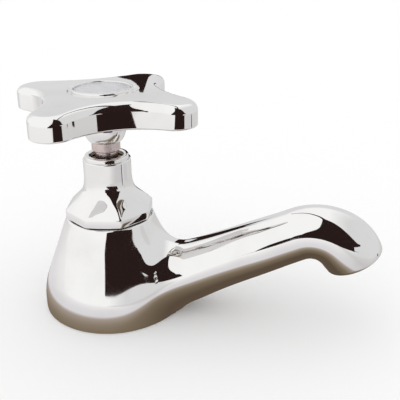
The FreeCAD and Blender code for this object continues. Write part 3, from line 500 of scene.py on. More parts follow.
def noise_node(tree: Tree, scale: float, detail: float) -> Node:
    """Add a noise on Object coordinates.

    Args:
        tree: where it goes.
        scale: how many features there are in a metre.
        detail: how many finer layers it has.

    Returns:
        The noise's node.
    """
    where = tree.nodes.new("ShaderNodeTexCoord")
    made = node(tree, "ShaderNodeTexNoise", scale=scale, detail=detail)
    tree.links.new(where.outputs["Object"], made.inputs["Vector"])
    return made


def colour_mix(tree: Tree, first: Colour, second: Colour) -> tuple[Socket, Socket]:
    """Mix two colours.

    Args:
        tree: where the mix goes.
        first: the colour where the mask is 0.
        second: the colour where it is 1.

    Returns:
        The mask's socket and the mixed colour's.
    """
    mix = node(tree, "ShaderNodeMix", data_type="RGBA")
    places = (socket for socket in mix.inputs if socket.type == "RGBA")
    for socket, colour in zip(places, (first, second)):
        socket.default_value = (*colour, 1.0)
    result = next(socket for socket in mix.outputs if socket.type == "RGBA")
    return mix.inputs["Factor"], result


@dataclass
class Effects:
    """The node groups that the finishes share, each made once."""

    smear_scale: float = 70.0
    smear_range: Point = (0.45, 0.75)
    speck_scale: float = 900.0
    speck_range: Point = (0.62, 0.8)
    clean_roughness: float = 0.03
    marked_roughness: float = 0.035
    wave_scale: float = 60.0
    ring_pitch: float = 0.0003
    ring_breaks: float = 1500.0
    ring_shade: Point = (0.1, 0.6)
    grain_scale: float = 1500.0
    cloud_scale: float = 300.0
    cloud_range: Point = (0.35, 0.7)

    def __post_init__(self) -> None:
        """Make every group."""
        self.handling = self.handling_group()
        self.polish = self.polish_group()
        self.turning = self.turning_group()
        self.grains = self.grain_group()

    def handling_group(self) -> Tree:
        """Faint water marks, finger smears and specks of a polished surface in use.

        Returns:
            The group, which gives a roughness, a mask of the smears and a height.
        """
        group = new_group("handling", {"Amount": 1.0}, ("Roughness", "Smear", "Height"))
        given, out = node(group, "NodeGroupInput"), node(group, "NodeGroupOutput")
        cloud = noise_node(group, self.smear_scale, detail=4.0).outputs["Fac"]
        fine = noise_node(group, self.speck_scale, detail=2.0).outputs["Fac"]
        smear = spread(group, cloud, *self.smear_range)
        marks = worked_out(group, "ADD", smear, spread(group, fine, *self.speck_range))
        marks = worked_out(group, "MULTIPLY", marks, given.outputs["Amount"])
        rough = worked_out(group, "MULTIPLY_ADD", marks, self.marked_roughness, self.clean_roughness)
        join(group, (rough, out.inputs["Roughness"]), (smear, out.inputs["Smear"]),
             (fine, out.inputs["Height"]))
        return group

    def polish_group(self) -> Tree:
        """Slow waves that a buffing wheel leaves in a cast surface.

        Returns:
            The group, which gives a height.
        """
        group = new_group("polish_waves", {"Scale": self.wave_scale}, ("Height",))
        given, out = node(group, "NodeGroupInput"), node(group, "NodeGroupOutput")
        waves = noise_node(group, self.wave_scale, detail=1.0)
        join(group, (given.outputs["Scale"], waves.inputs["Scale"]),
             (waves.outputs["Fac"], out.inputs["Height"]))
        return group

    def turning_group(self) -> Tree:
        """Fine rings that a lathe leaves round the tap's axis, on sides and on faces alike.

        Returns:
            The group, which gives a height and a mask of the rings.
        """
        group = new_group("turning_marks", {"Pitch": self.ring_pitch}, ("Height", "Shade"))
        given, out = node(group, "NodeGroupInput"), node(group, "NodeGroupOutput")
        parts = split_place(group, "Object")
        radius = flat_length(group, parts.outputs["X"], parts.outputs["Y"])
        turns = worked_out(group, "DIVIDE", worked_out(group, "ADD", radius, parts.outputs["Z"]),
                           given.outputs["Pitch"])
        breaks = noise_node(group, self.ring_breaks, detail=2.0).outputs["Fac"]
        rings = worked_out(group, "MULTIPLY", worked_out(group, "FRACT", turns), breaks)
        join(group, (rings, out.inputs["Height"]),
             (spread(group, rings, *self.ring_shade), out.inputs["Shade"]))
        return group

    def grain_group(self) -> Tree:
        """Grains of a moulded or pressed material.

        Returns:
            The group, which gives a colour mask and a height.
        """
        group = new_group("grains", {"Scale": self.grain_scale}, ("Mask", "Height"))
        given, out = node(group, "NodeGroupInput"), node(group, "NodeGroupOutput")
        where, cells = node(group, "ShaderNodeTexCoord"), node(group, "ShaderNodeTexVoronoi")
        cloud = noise_node(group, self.cloud_scale, detail=4.0).outputs["Fac"]
        join(group, (where.outputs["Object"], cells.inputs["Vector"]),
             (given.outputs["Scale"], cells.inputs["Scale"]),
             (cells.outputs["Distance"], out.inputs["Height"]),
             (spread(group, cloud, *self.cloud_range), out.inputs["Mask"]))
        return group


# ---------------------------------------------------------------- finishes

@dataclass(frozen=True)
class Finish(ABC):
    """What all finishes have: a name and two colours that a mask mixes."""

    name: str
    colour: Colour
    second: Colour

    @abstractmethod
    def material(self, effects: Effects) -> bpy.types.Material:
        """Make the finish's material out of the shared effects."""

    def start(self) -> tuple[bpy.types.Material, Node, Socket]:
        """Make the material with its shader and the mix of its two colours.

        Returns:
            The material, its shader, and the socket of the mask that mixes the colours.
        """
        material = bpy.data.materials.new(self.name)
        material.use_nodes = True
        tree = material.node_tree
        shader = tree.nodes["Principled BSDF"]
        mask, mixed = colour_mix(tree, self.colour, self.second)
        tree.links.new(mixed, shader.inputs["Base Color"])
        material.diffuse_color = (*self.colour, 1.0)
        return material, shader, mask

    @staticmethod
    def bump(tree: Tree, shader: Node, height: Socket, depth: float, under: Socket | None = None) -> Socket:
        """Feed a height to the shader's normal.

        Args:
            tree: the material's nodes.
            shader: the material's shader.
            height: the height's socket.
            depth: how deep a height of 1 is, in metres.
            under: the normal that it is laid over, if any.

        Returns:
            The socket of the new normal.
        """
        made = node(tree, "ShaderNodeBump", strength=1.0, distance=depth)
        tree.links.new(height, made.inputs["Height"])
        if under is not None:
            tree.links.new(under, made.inputs["Normal"])
        tree.links.new(made.outputs["Normal"], shader.inputs["Normal"])
        return made.outputs["Normal"]


@dataclass(frozen=True)
class Chrome(Finish):
    """Bright chrome over a buffed casting."""

    wave_scale: float = 55.0
    wave_depth: float = 0.00004
    wear: float = 1.0
    wear_depth: float = 0.0000003

    def material(self, effects: Effects) -> bpy.types.Material:
        """Make the chrome, with slow buffing waves and faint marks of use.

        Args:
            effects: the shared node groups.

        Returns:
            The material.
        """
        material, shader, mask = self.start()
        tree = material.node_tree
        shader.inputs["Metallic"].default_value = 1.0
        handling = node(tree, "ShaderNodeGroup", node_tree=effects.handling, amount=self.wear)
        polish = node(tree, "ShaderNodeGroup", node_tree=effects.polish, scale=self.wave_scale)
        join(tree, (handling.outputs["Smear"], mask),
             (handling.outputs["Roughness"], shader.inputs["Roughness"]))
        waves = self.bump(tree, shader, polish.outputs["Height"], self.wave_depth)
        self.bump(tree, shader, handling.outputs["Height"], self.wear_depth, waves)
        return material


@dataclass(frozen=True)
class Turned(Finish):
    """Metal turned on a lathe."""

    roughness: float
    pitch: float
    depth: float
    spread_of_roughness: Point = (0.7, 1.3)
    cloud_scale: float = 400.0
    cloud_range: Point = (0.35, 0.65)

    def material(self, effects: Effects) -> bpy.types.Material:
        """Make the turned metal with its rings.

        Args:
            effects: the shared node groups.

        Returns:
            The material.
        """
        material, shader, mask = self.start()
        tree = material.node_tree
        shader.inputs["Metallic"].default_value = 1.0
        marks = node(tree, "ShaderNodeGroup", node_tree=effects.turning, pitch=self.pitch)
        cloud = noise_node(tree, self.cloud_scale, detail=4.0).outputs["Fac"]
        least, most = (self.roughness * share for share in self.spread_of_roughness)
        join(tree, (spread(tree, cloud, *self.cloud_range), mask),
             (spread(tree, marks.outputs["Shade"], 0.0, 1.0, least, most), shader.inputs["Roughness"]))
        self.bump(tree, shader, marks.outputs["Height"], self.depth)
        return material


@dataclass(frozen=True)
class Moulded(Finish):
    """Rubber, plastic, fibre or foam, pressed or moulded."""

    roughness: float
    grain: float
    depth: float
    smoothest: float = 0.85

    def material(self, effects: Effects) -> bpy.types.Material:
        """Make the moulded material with its grains.

        Args:
            effects: the shared node groups.

        Returns:
            The material.
        """
        material, shader, mask = self.start()
        tree = material.node_tree
        grains = node(tree, "ShaderNodeGroup", node_tree=effects.grains, scale=self.grain)
        least = self.roughness * self.smoothest
        join(tree, (grains.outputs["Mask"], mask),
             (spread(tree, grains.outputs["Mask"], 0.0, 1.0, least, self.roughness),
              shader.inputs["Roughness"]))
        self.bump(tree, shader, grains.outputs["Height"], self.depth)
        return material


BRIGHT = (0.90, 0.895, 0.885)
SMEARED = (0.84, 0.832, 0.815)
# turned metals give roughness, the rings' pitch and depth; moulded ones roughness, grains a metre and depth
TAP_FINISHES = (
    Chrome("body_chrome", BRIGHT, SMEARED),
    Chrome("handle_chrome", BRIGHT, SMEARED, wave_scale=80.0, wave_depth=0.00003),
    Chrome("trim_chrome", BRIGHT, SMEARED, wave_scale=120.0, wave_depth=0.00001),
    Turned("satin_nickel", (0.74, 0.64, 0.62), (0.62, 0.52, 0.50), 0.28, 0.0005, 0.00001),
    Turned("turned_brass", (0.78, 0.57, 0.27), (0.55, 0.38, 0.17), 0.34, 0.0004, 0.00002),
    # a darker brass, given only to the two solids inside the bonnet's mouth
    Turned("darker_brass", (0.34, 0.24, 0.15), (0.17, 0.12, 0.08), 0.45, 0.0004, 0.00002),
    Turned("steel_screw", (0.62, 0.62, 0.63), (0.48, 0.48, 0.50), 0.3, 0.0003, 0.00001),
    Turned("index_satin", (0.80, 0.80, 0.81), (0.74, 0.74, 0.76), 0.42, 0.00025, 0.000004),
    Moulded("black_rubber", (0.025, 0.024, 0.024), (0.045, 0.043, 0.042), 0.7, 2500.0, 0.00003),
    Moulded("foam_rubber", (0.13, 0.13, 0.13), (0.2, 0.2, 0.2), 0.9, 1400.0, 0.0002),
    Moulded("white_nylon", (0.8, 0.79, 0.75), (0.72, 0.7, 0.66), 0.45, 3000.0, 0.00001),
    Moulded("red_fibre", (0.42, 0.07, 0.04), (0.3, 0.05, 0.03), 0.75, 4000.0, 0.00003),
    Moulded("graphite_packing", (0.06, 0.06, 0.065), (0.12, 0.12, 0.13), 0.5, 1800.0, 0.00015))


class Finishes:
    """Every finish of the tap, made once and shared."""

    def __init__(self, effects: Effects) -> None:
        """Make the materials out of the shared node groups."""
        self.made = {finish.name: finish.material(effects) for finish in TAP_FINISHES}

    def __getitem__(self, name: str) -> bpy.types.Material:
        """The material of a finish; a slot's finish has the slot's name."""
        return self.made[name]


# ---------------------------------------------------------------- pieces

class Piece(ABC):
    """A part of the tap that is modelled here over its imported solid."""

    @abstractmethod
    def build(self, finishes: Finishes) -> None:
        """Shape it, and give it its body, slot and finish."""

    @staticmethod
    def hand_over(piece: Object, body: Body, slot: Slot, finishes: Finishes, stands_for: str) -> None:
        """Give a shaped piece its body, slot and finish, and report it.

        Args:
            piece: the shaped piece.
            body: the body that it moves with.
            slot: the record's slot that it takes its finish from.
            finishes: the tap's materials.
            stands_for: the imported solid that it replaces.
        """
        piece.data.materials.clear()
        piece.data.materials.append(finishes[slot.value])
        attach(piece, body.value)
        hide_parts(stands_for)
        LOG.info("%-16s %6d faces, rides on %s", piece.name, len(piece.data.polygons), body.value)


# ---------------------------------------------------------------- the casting

@dataclass
class Spout:
    """The spout's centre line and thickness, from the level root to the outlet."""

    start: float = 4.0
    root_height: float = 12.0
    upturn: float = 40.0
    rise: float = math.radians(25.3)
    bend: float = 15.0
    drop: float = math.radians(62.6)
    straight: float = 2.0
    reach: float = 89.3
    outlet_height: float = 24.5
    radii: tuple[float, ...] = (14.6, 13.6, 11.1, 10.1, 9.7, 9.3, 10.0, 10.4, 10.1)
    rim: float = 1.4
    bore: float = 7.4
    bore_depth: float = 5.0
    # how far the last straight is followed past the outlet
    past_end: float = 1000.0

    def __post_init__(self) -> None:
        """Work out the centre line's runs and arcs."""
        self.aim = np.array([math.cos(self.drop), -math.sin(self.drop)])
        self.outlet = np.array([self.reach, self.outlet_height])
        bend_end = self.outlet - self.straight * self.aim
        self.bend_centre = bend_end + self.bend * np.array([self.aim[1], -self.aim[0]])
        self.climb = np.array([math.cos(self.rise), math.sin(self.rise)])
        across = np.array([-self.climb[1], self.climb[0]])
        self.bend_start = self.bend_centre + self.bend * across
        self.upturn_height = self.root_height + self.upturn
        over = (self.upturn_height - self.bend_start[1]) * across[1]
        centre_x = self.bend_start[0] + (self.upturn - over) / across[0]
        self.upturn_centre = np.array([centre_x, self.upturn_height])
        self.climb_start = self.upturn_centre - self.upturn * across
        lengths = [centre_x - self.start, self.upturn * self.rise,
                   float(np.hypot(*(self.bend_start - self.climb_start))),
                   self.bend * (self.rise + self.drop), self.straight]
        self.marks = np.concatenate([[0.0], np.cumsum(lengths)])
        level, climb, turn, over_top = self.marks[1], self.marks[2], self.marks[3], self.marks[4]
        stations = [0.0, level, climb, climb + lengths[2] / 3, climb + lengths[2] * 2 / 3, turn,
                    (turn + over_top) / 2, over_top, self.marks[5]]
        self.thickness = even_curve(stations, self.radii)

    def nearest(self, across: np.ndarray, up: np.ndarray) -> tuple[np.ndarray, np.ndarray]:
        """Find the nearest place on the centre line.

        Args:
            across: distance along the spout from the tap's axis.
            up: height.

        Returns:
            Places along the centre line, and how far away they are in the spout's plane.
        """
        spots = np.stack([across, up], axis=1)
        places, gaps = [], []
        last = len(self.marks) - 2
        # the straight runs: where each begins, its way, and its number among the five parts of the line
        runs = ((np.array([self.start, self.root_height]), np.array([1.0, 0.0]), 0),
                (self.climb_start, self.climb, 2),
                (self.outlet - self.straight * self.aim, self.aim, last))
        for begin, way, index in runs:
            length = self.marks[index + 1] - self.marks[index] if index < last else self.past_end
            along = np.clip((spots - begin) @ way, 0, length)
            places.append(self.marks[index] + along)
            gaps.append(np.hypot(*(spots - begin - along[:, None] * way).T))
        # the arcs: centre, radius, -1 where it turns up and 1 where it turns down, number and angle
        arcs = ((self.upturn_centre, self.upturn, -1.0, 1, self.rise),
                (self.bend_centre, self.bend, 1.0, 3, self.rise + self.drop))
        for centre, radius, side, index, angle in arcs:
            away = (spots - centre) * side
            if side < 0:
                turn = np.arctan2(-away[:, 0], away[:, 1])
            else:
                turn = self.rise + np.arctan2(away[:, 0], away[:, 1])
            turn = np.clip(turn, 0, angle)
            lean = turn if side < 0 else turn - self.rise
            foot = np.stack([np.sin(lean), np.cos(lean)], axis=1) * radius
            foot = centre + (foot * np.array([1.0, -1.0]) if side < 0 else foot)
            places.append(self.marks[index] + turn * radius)
            gaps.append(np.hypot(*(spots - foot).T))
        gaps, places = np.array(gaps), np.array(places)
        best = gaps.argmin(axis=0)
        each = np.arange(len(spots))
        return places[best, each], gaps[best, each]

    def beyond(self, points: np.ndarray) -> np.ndarray:
        """How far points are past the outlet's plane."""
        return (points[:, [0, 2]] - self.outlet) @ self.aim

    def outside(self, points: np.ndarray) -> np.ndarray:
        """Distance outside the spout, with its round rim.

        Args:
            points: places, one a row.

        Returns:
            The distance at each place.
        """
        place, gap = self.nearest(points[:, 0], points[:, 2])
        tube = np.hypot(gap, points[:, 1]) - self.thickness(place)
        return rounded_meet(tube, self.beyond(points), self.rim)

    def outside_bore(self, points: np.ndarray) -> np.ndarray:
        """Distance outside the outlet's bore."""
        _, gap = self.nearest(points[:, 0], points[:, 2])
        return np.maximum(np.hypot(gap, points[:, 1]) - self.bore, -self.beyond(points) - self.bore_depth)


@dataclass
class CastBody(Piece):
    """The cone, its foot and the spout, one hollow casting."""

    spout: Spout = field(default_factory=Spout)
    base: float = 26.1
    foot: float = 3.5
    shoulder: float = 15.9
    top: float = 35.6
    slope: float = math.radians(20.6)
    hollow: float = 10.5
    edge: float = 0.5
    foot_edge: float = 0.6
    stub: float = -1.0
    grain: float = 0.6
    # how far from the form a point of the remeshed skin may lie
    near: float = 1.3
    # the gasket's recess and the valve chamber's mouth, each left alone to this depth
    gasket: float = 23.6
    mouth: float = 11.0
    left_alone: float = 1.0

    def __post_init__(self) -> None:
        """Work out the arc that leads from the foot to the cone."""
        lean, rise = self.base - self.shoulder, self.top - self.foot
        self.arc = (rise * math.sin(self.slope) - lean * math.cos(self.slope)) / (1 - math.cos(self.slope))

    def cone(self, points: np.ndarray) -> np.ndarray:
        """Distance outside the foot, arc and cone, with a slightly round top edge.

        Args:
            points: places, one a row.

        Returns:
            The distance at each place.
        """
        radius, height = np.hypot(points[:, 0], points[:, 1]), points[:, 2]
        centre = self.base - self.arc
        turn = np.arctan2(height - self.foot, radius - centre)
        arc = np.hypot(radius - centre, height - self.foot) - self.arc
        side = ((radius - self.shoulder) * math.cos(self.slope)
                + (height - self.top) * math.sin(self.slope))
        side = np.where(turn <= 0, radius - self.base, np.where(turn < self.slope, arc, side))
        return rounded_meet(side, height - self.top, self.edge)

    def form(self, points: np.ndarray) -> np.ndarray:
        """Distance outside the casting's skin.

        Args:
            points: places, one a row.

        Returns:
            The distance at each place.
        """
        joined = soft_join(self.cone(points), self.spout.outside(points), self.hollow)
        joined = rounded_meet(joined, -points[:, 2], self.foot_edge)
        return rounded_meet(joined, -self.spout.outside_bore(points), self.edge)

    def on_skin(self, points: np.ndarray) -> np.ndarray:
        """Leave out the gasket's recess and the top of the valve chamber.

        Args:
            points: places, one a row.

        Returns:
            Which of them belong to the skin.
        """
        radius = np.hypot(points[:, 0], points[:, 1])
        under = (points[:, 2] < self.left_alone) & (radius < self.gasket)
        inside = (points[:, 2] > self.top - self.left_alone) & (radius < self.mouth)
        return ~(under | inside)

    def build(self, finishes: Finishes) -> None:
        """Shape the casting above the deck.

        Args:
            finishes: the tap's materials.
        """
        piece = copy_of_node("tap_body", "cast_body")
        cut_below(piece, self.stub)
        apply_modifier(piece, "REMESH", mode="VOXEL", voxel_size=self.grain * MM)
        settle(piece, self.form, self.on_skin, self.near)
        self.hand_over(piece, Body.FIXED, Slot.BODY, finishes, "tap_body")


@dataclass
class Tail(Piece):
    """The threaded tail under the deck."""

    root: float = 9.4
    crest: float = 10.4
    bore: float = 6.0
    bottom: float = -50.0
    top: float = -0.6
    bore_edge: float = 0.4
    end_edge: float = 0.6
    step: float = 1.0
    pitch: float = 1.814
    chamfer: float = 1.2
    plain: float = 3.0
    # half the ridge's width in pitches, how deep its foot is sunk, and its slightly flat crest
    flank: float = 0.46
    sunk: float = 0.3
    crest_drop: float = 0.12
    crest_half: float = 0.14
    tube_steps: int = 96
    thread_steps: int = 60
    thread_angle: float = 25.0

    def tube(self) -> Object:
        """Turn the tail's tube.

        Returns:
            The tube.
        """
        tube = spun("tail", round_outline([
            (self.bore, self.bottom, self.bore_edge), (self.root, self.bottom, self.end_edge),
            (self.root, -self.plain, 0), (self.crest, -self.plain + self.step, 0),
            (self.crest, self.top, 0), (self.bore, self.top, 0)]), self.tube_steps)
        smooth(tube)
        return tube

    def thread(self) -> Object:
        """Wind the thread's ridge round the tube, with both of its ends closed.

        Returns:
            The thread.
        """
        half = self.pitch * self.flank
        start = self.bottom + self.chamfer + half
        foot, shoulder = self.root - self.sunk, self.crest - self.crest_drop
        thread = drawn("tail_thread", [
            (foot, start - half), (shoulder, start - self.crest_half), (self.crest, start),
            (shoulder, start + self.crest_half), (foot, start + half)])
        turns = int((-self.plain - start) / self.pitch)
        apply_modifier(thread, "SCREW", axis="Z", screw_offset=self.pitch * MM, iterations=turns,
                       steps=self.thread_steps, render_steps=self.thread_steps,
                       use_merge_vertices=False, use_normal_calculate=True)
        edit(thread, "DESELECT")
        bpy.ops.mesh.select_non_manifold(extend=False)
        bpy.ops.mesh.edge_face_add()
        bpy.ops.mesh.select_all(action="SELECT")
        bpy.ops.mesh.normals_make_consistent(inside=False)
        leave_edit()
        smooth(thread, self.thread_angle)
        return thread

    def build(self, finishes: Finishes) -> None:
        """Make the tube and its thread.

        Args:
            finishes: the tap's materials.
        """
        for piece in (self.tube(), self.thread()):
            self.hand_over(piece, Body.FIXED, Slot.TAIL, finishes, "tap_body")


# ---------------------------------------------------------------- bonnet

@dataclass
class Bonnet(Piece):
    """The octagonal cover of the headgear, flared up to a round tube with a rolled mouth."""

    sides: int = 8
    flats: float = 15.05
    turn: float = math.radians(9.5)
    bottom: float = 36.0
    band_top: float = 39.2
    flare: tuple[Point, ...] = ((15.05, 39.2), (12.5, 42.2), (10.2, 44.6), (8.9, 47.4), (8.5, 50.4))
    # the band's corners from the foot up: how far in from the flats, and over the foot or, if negative,
    # under the band's top
    band: tuple[Point, ...] = ((0.35, 0.0), (0.1, 0.1), (0.0, 0.35), (0.0, 1.5), (0.0, -0.3), (0.08, -0.08))
    flare_rows: int = 26
    tube_top: float = 57.2
    tube_lead: float = 0.7
    bead: float = 7.8
    lip_top: float = 58.6
    mouth: float = 6.0
    bore: float = 7.3
    roof: float = 57.0
    # roundings of the tube's top, the bead's foot and top, and the mouth's top and roof
    lip_rounds: tuple[float, ...] = (0.5, 0.12, 0.62, 0.5, 0.2)
    round_parts: int = 6
    skirt: float = 13.3
    wall: float = 1.4
    steps: int = 240
    crispness: float = 70.0
    least_cosine: float = 0.001
    fade_top: float = 47.0
    fade_power: float = 2.0
    # what counts as the outside: clear of the skirt, over the band, and out from the wall's middle
    skirt_clear: float = 0.2
    band_clear: float = 0.05
    innermost: float = 7.6
    half_wall: float = 0.35
    shade_angle: float = 40.0

    def outline(self) -> list[Point]:
        """Draw the cover's section, round the wall from the foot outside to the foot inside.

        Returns:
            The corners of the closed section.
        """
        heights = [point[1] for point in self.flare]
        curve = even_curve(heights, [point[0] for point in self.flare])
        outer = [(self.skirt, self.bottom)]
        for inwards, level in self.band:
            outer.append((self.flats - inwards, (self.band_top if level < 0 else self.bottom) + level))
        for height in np.linspace(self.band_top, heights[-1], self.flare_rows)[1:]:
            outer.append((float(curve(np.array([height]))[0]), float(height)))
        tube = self.flare[-1][0]
        spots = ((tube, self.tube_top), (self.bead, self.tube_top), (self.bead, self.lip_top),
                 (self.mouth, self.lip_top), (self.mouth, self.roof))
        lip = [(tube, self.tube_top - self.tube_lead, 0.0)]
        lip += [(*spot, rounding) for spot, rounding in zip(spots, self.lip_rounds)]
        lip += [(self.bore, self.roof, 0.0), (self.bore, self.flare[3][1], 0.0)]
        return outer + round_outline(lip, self.round_parts) + self.inner_wall()[1:]

    def inner_wall(self) -> list[Point]:
        """The inner wall's corners, from the bore down to the skirt."""
        leaning = [(self.flare[row][0] - self.wall, self.flare[row][1]) for row in (2, 1)]
        return [(self.bore, self.flare[3][1]), *leaning, (self.skirt, self.band_top)]

    def inside(self, height: np.ndarray) -> np.ndarray:
        """Radius of the inner wall at some heights."""
        radii, levels = zip(*reversed(self.inner_wall()))
        return np.interp(height, levels, radii)

    def build(self, finishes: Finishes) -> None:
        """Turn the cover's section, then press the eight flats into it.

        Args:
            finishes: the tap's materials.
        """
        piece = spun("bonnet_shell", self.outline(), self.steps)
        points = read_points(piece)
        radius, height = np.hypot(points[:, 0], points[:, 1]), points[:, 2]
        angle = np.arctan2(points[:, 1], points[:, 0]) - self.turn
        facing = np.arange(self.sides) * math.tau / self.sides
        near = np.maximum(np.cos(angle[:, None] - facing[None, :]), self.least_cosine)
        corner = (near ** self.crispness).sum(axis=1) ** (-1 / self.crispness)
        fade = np.clip((self.fade_top - height) / (self.fade_top - self.band_top), 0, 1) ** self.fade_power
        outer = (radius > self.skirt + self.skirt_clear) | (height > self.band_top + self.band_clear)
        outer &= radius > self.innermost
        outer &= ~((height > self.band_top) & (radius < self.inside(height) + self.half_wall))
        points[:, :2] *= np.where(outer, 1 + (corner - 1) * fade, 1.0)[:, None]
        write_points(piece, points)
        smooth(piece, self.shade_angle)
        self.hand_over(piece, Body.FIXED, Slot.TRIM, finishes, "bonnet_cover")


# ---------------------------------------------------------------- cross handle and its index

@dataclass
class CrossHandle(Piece):
    """The four-armed handle, one casting with a bowl under it and a dish in its top."""

    reach: float = 28.2
    tip: float = 7.35
    waist: float = 20.4
    turn: float = math.radians(-15.1)
    bottom: float = 72.6
    crown: float = 82.0
    crown_rise: float = 1.7
    upper_edge: float = 2.6
    lower_edge: float = 0.6
    hub: float = 7.5
    hub_lip: float = 5.7
    hub_bottom: float = 63.6
    hub_side: float = 68.6
    hub_edge: float = 0.35
    hub_blend: float = 1.4
    # how far the bowl reaches up into the cross
    hub_head: float = 3.0
    dish: float = 12.25
    dish_floor: float = 11.4
    dish_depth: float = 1.1
    edge: float = 0.3
    grain: float = 0.36
    # how far from the form a point of the remeshed skin may lie
    near: float = 0.8
    # the well under the index, and the clearances from it and from the collar's seat
    well: float = 8.6
    well_clear: float = 0.9
    seat_clear: float = 0.25

    def __post_init__(self) -> None:
        """Work out the hollows between the arms, the dome and the bowl."""
        across = math.sqrt(0.5)
        # the hollow touches the arm's round end, so the two centres are both radii apart
        span = self.waist ** 2 + self.reach ** 2 - 2 * self.waist * self.reach * across - self.tip ** 2
        self.hollow = span / (2 * (self.tip - self.waist + self.reach * across))
        self.hollow_centre = (self.waist + self.hollow) * across
        end = self.reach + self.tip
        self.dome = (end ** 2 + self.crown_rise ** 2) / (2 * self.crown_rise)
        width, height = self.hub - self.hub_lip, self.hub_side - self.hub_bottom
        self.bowl = (width ** 2 + height ** 2) / (2 * width)

    def cross(self, points: np.ndarray) -> np.ndarray:
        """Distance outside the cross, seen from above.

        Args:
            points: places, one a row.

        Returns:
            The distance at each place.
        """
        angle = np.arctan2(points[:, 1], points[:, 0]) - self.turn
        radius = np.hypot(points[:, 0], points[:, 1])
        angle = np.abs((angle + math.pi / 4) % (math.pi / 2) - math.pi / 4)
        along, aside = radius * np.cos(angle), radius * np.sin(angle)
        from_tip = np.hypot(along - self.reach, aside) - self.tip
        from_hollow = self.hollow - np.hypot(along - self.hollow_centre, aside - self.hollow_centre)
        lean_x, lean_y = self.reach - self.hollow_centre, -self.hollow_centre
        side = lean_x * (aside - self.hollow_centre) - lean_y * (along - self.hollow_centre)
        return np.where(side > 0, from_tip, from_hollow)

    def form(self, points: np.ndarray) -> np.ndarray:
        """Distance outside the handle's skin.

        Args:
            points: places, one a row.

        Returns:
            The distance at each place.
        """
        radius, height = np.hypot(points[:, 0], points[:, 1]), points[:, 2]
        dome = np.hypot(radius, height - self.crown + self.dome) - self.dome
        plate = rounded_meet(self.cross(points), dome, self.upper_edge)
        plate = rounded_meet(plate, self.bottom - height, self.lower_edge)
        turned = np.hypot(radius - self.hub + self.bowl, height - self.hub_side) - self.bowl
        bowl = np.where(height > self.hub_side, radius - self.hub, turned)
        bowl = np.maximum(bowl, height - self.bottom - self.hub_head)
        bowl = rounded_meet(bowl, self.hub_bottom - height, self.hub_edge)
        whole = soft_join(plate, bowl, self.hub_blend)
        lean = (self.dish - self.dish_floor) / self.dish_depth
        over_floor = height - self.crown + self.dish_depth
        slope = (radius - self.dish_floor - over_floor * lean) / math.hypot(1, lean)
        dish = rounded_meet(slope, -over_floor, self.edge)
        return rounded_meet(whole, -dish, self.edge)

    def on_skin(self, points: np.ndarray) -> np.ndarray:
        """Leave out the well under the index and the seat of the spindle's collar.

        Args:
            points: places, one a row.

        Returns:
            Which of them belong to the skin.
        """
        radius, height = np.hypot(points[:, 0], points[:, 1]), points[:, 2]
        well = (radius < self.well + self.well_clear) & (height > self.bottom)
        seat = (radius < self.hub_lip - self.seat_clear) & (height < self.bottom)
        return ~(well | seat)

    def build(self, finishes: Finishes) -> None:
        """Shape the handle's casting.

        Args:
            finishes: the tap's materials.
        """
        piece = copy_of_node("cross_handle", "cross_casting")
        apply_modifier(piece, "REMESH", mode="VOXEL", voxel_size=self.grain * MM)
        settle(piece, self.form, self.on_skin, self.near)
        self.hand_over(piece, Body.HANDLE, Slot.HANDLE, finishes, "cross_handle")


@dataclass
class Index(Piece):
    """The plain index in the handle's dish: a bright rim and a satin disc."""

    rim: float = 10.7
    rim_width: float = 0.8
    rim_top: float = 82.45
    dish_floor: float = 80.9
    floor: float = 0.4
    plug: float = 8.5
    plug_wall: float = 1.1
    plug_depth: float = 3.0
    plug_edge: float = 0.2
    root_edge: float = 0.1
    foot_edge: float = 0.15
    rim_edge: float = 0.34
    disc_top: float = 82.15
    # the disc's upper side from its edge to the axis, with its groove: radius and depth under the top
    face: tuple[Point, ...] = ((9.8, 0.45), (9.65, 0.5), (9.15, 0.42), (8.9, 0.12), (8.6, 0.0), (5.34, 0.0),
                               (2.67, 0.0), (0.0, 0.0))
    steps: int = 144

    def bezel(self) -> Object:
        """Turn the rim with the plug that holds it in the well.

        Returns:
            The rim.
        """
        hole, inside = self.plug - self.plug_wall, self.rim - self.rim_width
        plug_bottom, floor = self.dish_floor - self.plug_depth, self.dish_floor + self.floor
        return spun("index_bezel", round_outline([
            (hole, plug_bottom, self.plug_edge), (self.plug, plug_bottom, self.plug_edge),
            (self.plug, self.dish_floor, self.root_edge), (self.rim, self.dish_floor, self.foot_edge),
            (self.rim, self.rim_top, self.rim_edge), (inside, self.rim_top, self.rim_edge),
            (inside, floor, 0), (hole, floor, 0)]), self.steps)

    def disc(self) -> Object:
        """Turn the disc with its shallow groove.

        Returns:
            The disc.
        """
        low = self.dish_floor + self.floor
        upper = [(radius, self.disc_top - depth) for radius, depth in self.face]
        return spun("index_face", [(0.0, low), (self.face[0][0], low), *upper], self.steps, closed=False)

    def build(self, finishes: Finishes) -> None:
        """Make the rim and its disc.

        Args:
            finishes: the tap's materials.
        """
        made = ((self.bezel(), Slot.TRIM, "index_ring"), (self.disc(), Slot.INDEX, "index_disc"))
        for piece, slot, solid in made:
            smooth(piece)
            self.hand_over(piece, Body.HANDLE, slot, finishes, solid)


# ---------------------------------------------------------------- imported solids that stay

MODELLED_ANEW = ("tap_body", "bonnet_cover", "cross_handle", "index_ring", "index_disc")
# the two brass solids inside the bonnet's mouth, in a darker brass that shows as a dark ring there
IN_THE_MOUTH = ("gland_nut", "headgear_body")


